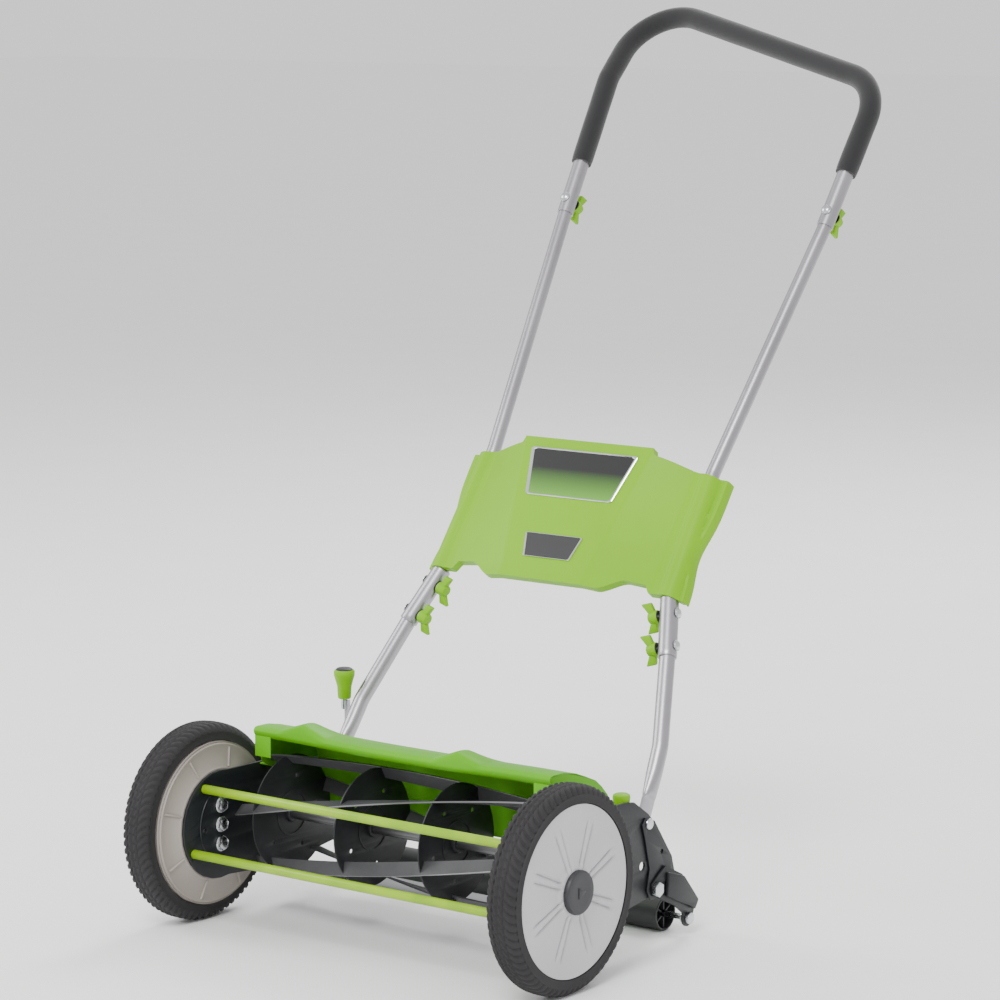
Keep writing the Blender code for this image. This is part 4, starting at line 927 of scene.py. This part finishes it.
def upper_handle():
    """Bent loop and its foam grip."""
    route = loop_route(0.0)
    outward = Vector((0, -0.83, 0.56))
    loop = sweep("handle_loop_bent", route, lambda _: (LOOP_RADIUS, LOOP_RADIUS), TUBE, side_axis=outward)
    finish_piece(loop, "handle", "tube_steel", "handle_loop")
    route = loop_route(0.0801)
    ends = len(route) - 1

    def half_sizes(share):
        """Foam that bulges a little and narrows at its cut ends."""
        edge = min(share, 1 - share) * ends
        ripple = 0.12 * MM * sin(share * 61) * sin(share * 23)
        radius = GRIP_RADIUS - 0.9 * MM * exp(-edge * 1.2) + ripple
        return radius, radius

    grip = sweep("foam_grip", route, half_sizes, FOAM, 36, side_axis=outward)
    finish_piece(grip, "handle", "grip_foam", "grip_foam")


PANEL_HEIGHT = 0.185
PANEL_UP = Vector((0, 0.5794, 0.8150))
PANEL_FRONT = Vector((0, -0.8150, 0.5794))


def panel_point(x, up_handle, out):
    """A place on the panel: across, up along the handle and out in front of the tubes' centre plane."""
    return PANEL + Vector((x, 0, 0)) + PANEL_UP * up_handle + PANEL_FRONT * out


def panel_crown(up_handle):
    """How far the raised middle stands in front of the tubes' centre plane."""
    return 0.033 + 0.006 * share_of(up_handle, 0, PANEL_HEIGHT)


def panel_face(x, up_handle):
    """How far the panel stands in front of the tubes' centre plane."""
    raised_half = 0.066 + 0.037 * share_of(up_handle, 0, PANEL_HEIGHT)
    tube_x = COVER_LOW[0] - 0.0049 * share_of(up_handle, 0, 0.178)
    crown = panel_crown(up_handle)
    flat = 0.0125
    slope = share_of(abs(x), raised_half, 0.160)
    level = crown + (flat - crown) * slope
    offset = abs(abs(x) - tube_x) / 0.0155
    bulge = 0.0150 * (max(0.0, 1 - offset * offset) ** 0.5) if offset < 1 else 0.0
    return max(level, bulge) if abs(x) < tube_x else max(bulge, 0.002)


def panel_edges(x):
    """Lowest and highest reach of the panel along the handle at this distance from the middle."""
    across = abs(x)
    low = -0.014 + 0.019 * smooth(across, 0.085, 0.125) - 0.010 * smooth(across, 0.150, 0.158)
    high = 0.187 - 0.009 * smooth(across, 0.103, 0.106) - 0.009 * smooth(across, 0.106, 0.190)
    return low, high


def handle_panel():
    """Moulded cover: raised middle, sloping shoulders, round housings over the tubes and returned edges."""
    columns = [0.206, 0.2059, 0.2045, 0.2015] + [0.200 - 0.0025 * k for k in range(81)]
    columns = columns + [-x for x in reversed(columns[:-1])]
    outer_drop = {0: 0.016, 1: 0.006, 2: 0.001}
    count = len(columns)
    rows = 44

    def point(i, j):
        index = round(j * (count - 1))
        x = columns[index]
        low, high = panel_edges(x)
        row = round(i * (rows - 1))
        share = share_of(row, 2, rows - 3)
        up_handle = low + (high - low) * share
        waist = 1.0 - 0.045 * exp(-(((share - 0.38) / 0.22) ** 2)) * smooth(abs(x), 0.17, 0.206)
        out = panel_face(x * waist, up_handle)
        edge = min(index, count - 1 - index)
        drop = outer_drop.get(edge, 0.0)
        if row < 2 or row > rows - 3:
            reach = (2 - row) if row < 2 else (row - rows + 3)
            drop = max(drop, 0.006 * reach)
        return panel_point(x * waist, up_handle, out - drop)

    shell = thickened(skin("panel_shell", rows, count, point, LIME, sharp=28), 2.2 * MM, -1.0)
    shell = settle(shell, 28)
    upper = badge("upper_badge", in_mm((-86, 172), (86, 172), (69, 103), (-69, 103)), LABEL)
    lower = badge("lower_badge", in_mm((-46, 50), (46, 50), (37, 16), (-37, 16)), ACETAL)
    panel = joined("handle_panel_moulded", shell, upper, lower)
    finish_piece(panel, "handle", "lime_plastic", "handle_cover")


def badge(name, corners, paint):
    """Plain trapezoid badge: a raised chrome border round a flat field. It carries no mark."""
    middle = sum((Vector(c) for c in corners), Vector((0, 0))) / 4
    rings = ((1.0, 0.0), (1.0, 0.0016), (0.985, 0.0021), (0.955, 0.0021), (0.94, 0.0012), (0.0, 0.0012))
    outline = []
    for a, b in zip(corners, corners[1:] + corners[:1]):
        a, b = Vector(a), Vector(b)
        outline += [a + (b - a) * 0.03, a + (b - a) * 0.35, a + (b - a) * 0.65, a + (b - a) * 0.97]

    def point(i, j):
        size, out = rings[round(i * (len(rings) - 1))]
        corner = outline[round(j * len(outline)) % len(outline)]
        place = middle + (corner - middle) * size
        return panel_point(place.x, place.y, panel_crown(place.y) + out)

    obj = skin(name, len(rings), len(outline), point, CHROME, wrap_columns=True, sharp=20)
    obj.data.materials.append(paint)
    wide = max(abs(corner[0] - middle.x) for corner in corners)
    for face in obj.data.polygons:
        inside = Vector(face.center) - panel_point(middle.x, middle.y, 0.034)
        facing = abs(face.normal.dot(PANEL_FRONT)) > 0.99
        if facing and inside.length < wide * 0.9 and len(face.vertices) == 3:
            face.material_index = 1
    return obj


# ---------------------------------------------------------------- bolts and knobs
def wing_knob(name, start, direction):
    """Moulded wing knob: round boss and two swept wings along the tube, over a dark washer."""
    profile = in_mm((1.2, 0), (1.2, 8.6), (4, 9.2), (9, 8.2), (14, 7.2), (15, 6), (15, 0))
    boss = turned_up("boss", profile, LIME, start, direction)
    wings = []
    for side in (-1, 1):
        mesh = bpy.data.meshes.new("wing")
        with edited(mesh) as shape:
            bmesh.ops.create_cube(shape, size=1.0)
            for vert in shape.verts:
                root = vert.co.y < 0
                tall = vert.co.z > 0
                y = 4.5 if root else 19.5
                z = (12.5 if root else 21.5) if tall else (4.0 if root else 7.0)
                vert.co = Vector((vert.co.x * (9.0 if root else 6.4), side * y, z)) * MM
            bmesh.ops.recalc_face_normals(shape, faces=shape.faces)
        wing = rounded(add_piece("wing", mesh, LIME), 1.9 * MM, 4)
        wings.append(place_along(wing, start, direction))
    rim = in_mm((0.1, 0), (0.1, 8), (1.3, 8), (1.3, 0))
    washer = turned_up("washer", rim, ACETAL, start, direction)
    obj = joined(name + "_winged", boss, washer, *wings)
    finish_piece(obj, name, "lime_plastic", name)


def handle_bolts():
    """Dome-headed bolts of the tube joints, each facing its wing knob."""
    joints = {joint["name"]: joint for joint in frame["joints"]}
    for side in SIDE_NAMES:
        for spot, radius in (("lower_1", SLEEVE_RADIUS), ("lower_2", SLEEVE_RADIUS), ("upper", LOOP_RADIUS)):
            joint = joints[f"wing_knob_{side}_{spot}_turn"]
            centre, knobward = Vector(joint["pos_m"]), Vector(joint["axis"])
            wing_knob(f"wing_knob_{side}_{spot}", centre + knobward * (radius + 1.0 * MM), knobward)
            tip = -radius - 10 * MM
            washer = in_mm((0.2, 3.1), (0.2, 7.2), (1.2, 7.2), (1.2, 6.1))
            head = washer + in_mm((2.2, 5.9), (3.6, 4.2), (4.2, 2), (4.2, 0))
            profile = [(tip, 0.0), (tip, 3.1 * MM)] + [(radius + reach, size) for reach, size in head]
            bolt = turned_up(f"bolt_{side}_{spot}_domed", profile, ZINC, centre, -knobward)
            finish_piece(bolt, "handle", "zinc", f"handle_bolt_{side}_{spot}")


def axle_bolts(side, sign):
    """Three flanged hex bolts inside the side plate, one above another."""
    low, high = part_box(f"axle_bolts_{side}")
    seat = min(abs(low.x), abs(high.x)) + 7.8 * MM
    places = [(sign * seat, WHEEL.y, WHEEL.z + k * 25 * MM) for k in (-1, 0, 1)]
    head = in_mm((0, 0), (0, 8.6), (5.6, 8.6), (6.6, 7), (6.9, 3), (7, 0))
    flange = in_mm((0, 0), (0, 10.4), (1, 10.4), (2, 9), (2, 0))
    origin = Vector((0, 0, 0))
    hexagon = turned("head", flipped(head, -sign), ZINC, origin, 6, 20)
    collar = turned("flange", flipped(flange, -sign), ZINC, origin, 40)
    bolt = joined("bolt", hexagon, collar)
    nuts = copied(f"nuts_{side}", POINT_COPIES, bolt, ZINC, places, turn=0.3)
    finish_piece(nuts, "chassis", "zinc", f"axle_bolts_{side}")


# ---------------------------------------------------------------- plates, arms, roller, knobs
def side_plate(side, sign):
    """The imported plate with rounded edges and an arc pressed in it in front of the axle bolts."""
    plate = refined(f"side_plate_{side}", SLATE)
    inner = 0.2500
    root, crest = sign * (inner + 0.5 * MM), sign * (inner - 0.9 * MM)
    profile = [(root, 50 * MM), (crest, 51 * MM), (crest, 53 * MM), (root, 54 * MM)]
    ring = turned("pressed_ring", profile, SLATE, WHEEL + Vector((0, 14 * MM, 0)), 96)
    with edited(ring.data) as shape:
        gone = [f for f in shape.faces if f.calc_center_median().y > WHEEL.y - 20 * MM]
        bmesh.ops.delete(shape, geom=gone, context="FACES")
        close_holes(shape)
    obj = joined(f"side_plate_{side}_pressed", plate, ring)
    finish_piece(obj, "chassis", "plate_paint", f"side_plate_{side}")


def height_arm(side, sign):
    """Cast-look arm: flat pivot end, stepped outwards over a boxed knuckle to the roller's nut."""
    flat = refined(f"height_arm_{side}", SLATE)
    low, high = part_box(f"height_arm_{side}")
    face = max(abs(low.x), abs(high.x))
    near = sign * (face - 0.5 * MM)
    far = sign * (face + 5.5 * MM)
    y, z = ARM_PIVOT.y, ARM_PIVOT.z
    knuckle = in_mm((21.5, 18), (56, 6.5), (88, -30), (80, -42), (68, -35), (42, -24), (18, -12))
    knuckle = [(y + back, z + above) for back, above in knuckle]
    box_part = sheet_plate("knuckle", [knuckle], min(near, far), max(near, far), SLATE, 2.2 * MM)
    obj = joined(f"height_arm_{side}_boxed", flat, box_part)
    finish_piece(obj, "height_arm", "plate_paint", f"height_arm_{side}")


def roller():
    """Tube with closed, recessed ends and six webs in each."""
    low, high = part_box("roller")
    half = high.x
    radius = (high.z - low.z) / 2
    bore, floor = radius - 2.6 * MM, half - 22 * MM
    outline = [(half - 0.8 * MM, radius), (half, radius - 0.8 * MM), (half, bore), (floor, bore)]
    outline.append((floor, 5 * MM))
    profile = outline + [(-x, size) for x, size in reversed(outline)]
    tube = turned("roller_tube", profile, ROLLER_BLACK, ROLLER, 96)
    webs = []
    for side, sign in SIDES:
        near, far = sorted((sign * (half - 14 * MM), sign * (half - 3 * MM)))
        low, high = (near, -1.0 * MM, 5 * MM), (far, 1.0 * MM, radius - 2.4 * MM)
        spoke = block("spoke", low, high, ROLLER_BLACK, 0.3 * MM)
        spokes = copied(f"roller_spokes_{side}", ROUND_COPIES, spoke, ROLLER_BLACK, count=6)
        webs.append(round_axis(spokes, ROLLER))
    finish_piece(joined("roller_hollow", tube, *webs), "roller", "roller_plastic", "roller")


def height_lever():
    """Flat strap rising from the left arm to a green knob with a dark top."""
    strap = refined("height_lever", ZINC)
    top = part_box("height_lever")[1].z
    centre = Vector((-0.2656, WHEEL.y + 0.2650, 0))
    with edited(strap.data) as shape:
        bmesh.ops.bisect_plane(
            shape,
            geom=shape.verts[:] + shape.edges[:] + shape.faces[:],
            plane_co=(0, 0, top - 0.0405),
            plane_no=(0, 0, 1),
            clear_outer=True,
        )
        close_holes(shape)
    start = Vector((centre.x, centre.y, top - 0.0410))
    up = (0, 0, 1)
    handle = in_mm((0, 0), (0, 8), (1.5, 8.8), (16, 9.6), (26, 12.2), (31, 13.8), (36, 14))
    handle += in_mm((38.5, 12.6), (38.5, 0))
    button = in_mm((37.5, 0), (37.5, 11.5), (40, 10.9), (41, 9), (41, 0))
    knob = turned_up("knob", handle, LIME, start, up, 48)
    cap = turned_up("knob_cap", button, CHARCOAL, start, up, 48)
    finish_piece(joined("height_lever_knobbed", strap, knob, cap), "height_arm", "zinc", "height_lever")


def adjust_knob():
    """Tapered green knob on a chrome screw."""
    top = JOINT["adjust_knob_turn"]
    down = (0, 0, -1)
    handle = in_mm((0, 0), (0, 8.6), (1.2, 10.4), (4, 11.1), (17, 9.6), (18, 8.6), (18, 0))
    screw = in_mm((17, 0), (17, 3.7), (55, 3.7), (56, 3), (56, 0))
    knob = turned_up("adjust_cap", handle, LIME, top, down, 48)
    stem = turned_up("adjust_stem", screw, CHROME, top, down, 24)
    finish_piece(joined("adjust_knob_moulded", knob, stem), "adjust_knob", "lime_plastic", "adjust_knob")


def plain_finishes():
    """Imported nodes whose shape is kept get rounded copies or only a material."""
    rounded_nodes = {
        "cutter_bar": ("chassis", "plate_paint", SLATE),
        "bed_knife": ("chassis", "blade_steel", GROUND_STEEL),
        "roller_axle": ("height_arm", "zinc", ZINC),
    }
    for side in SIDE_NAMES:
        rounded_nodes[f"height_quadrant_{side}"] = ("chassis", "plate_paint", SLATE)
        rounded_nodes[f"handle_pivot_pin_{side}"] = ("chassis", "zinc", ZINC)
    for name, (body, slot, paint) in rounded_nodes.items():
        obj = refined(name, paint, 0.35 * MM)
        if name.startswith("height_quadrant"):
            low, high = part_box(f"height_arm_{name.split('_')[-1]}")
            obj.data.materials.append(ZINC)
            for face in obj.data.polygons:
                if abs(face.center.x) > max(abs(low.x), abs(high.x)) - 0.1 * MM:
                    face.material_index = 1
        finish_piece(obj, body, slot, name)
    kept = {"wheel": WHEEL_GREY, "stub_axle": ZINC, "drive_pinion": ACETAL, "reel_bush": ACETAL}
    for stem, paint in kept.items():
        for side in SIDE_NAMES:
            obj = frame["nodes"][f"{stem}_{side}"]
            obj.data.materials.clear()
            obj.data.materials.append(paint)


def stage():
    mesh = bpy.data.meshes.new("floor")
    with edited(mesh) as shape:
        bmesh.ops.create_grid(shape, x_segments=1, y_segments=1, size=30)
    paper = mottled("matt_paper_backdrop", 0xFCFCFC, 0xFAFAFA, 3 * MM, 0.9, 0.05, 0.05)
    add_piece("floor", mesh, paper)
    world = bpy.data.worlds.new("studio")
    world.use_nodes = True
    world.node_tree.nodes["Background"].inputs["Color"].default_value = (1.0, 1.0, 1.0, 1.0)
    world.node_tree.nodes["Background"].inputs["Strength"].default_value = 1.05
    bpy.context.scene.world = world
    middle = (0, 0, 0.4)
    area_light("key", (1.2, -3.4, 3.6), middle, 2.0, 170)
    area_light("fill", (-3.2, -1.6, 2.2), middle, 2.0, 60)
    area_light("back", (-0.8, 3.2, 3.4), middle, 2.0, 110)


def build():
    add_camera()
    stage()
    for side, sign in SIDES:
        tyre(side, sign)
        wheel_cover(side, sign)
        hub_cap(side, sign)
        gear_shield(side, sign)
        lower_tube(side, sign)
        middle_tube(side, sign)
        axle_bolts(side, sign)
        side_plate(side, sign)
        height_arm(side, sign)
    reel()
    tie_rods()
    deck()
    upper_handle()
    handle_panel()
    handle_bolts()
    roller()
    height_lever()
    adjust_knob()
    plain_finishes()


build()
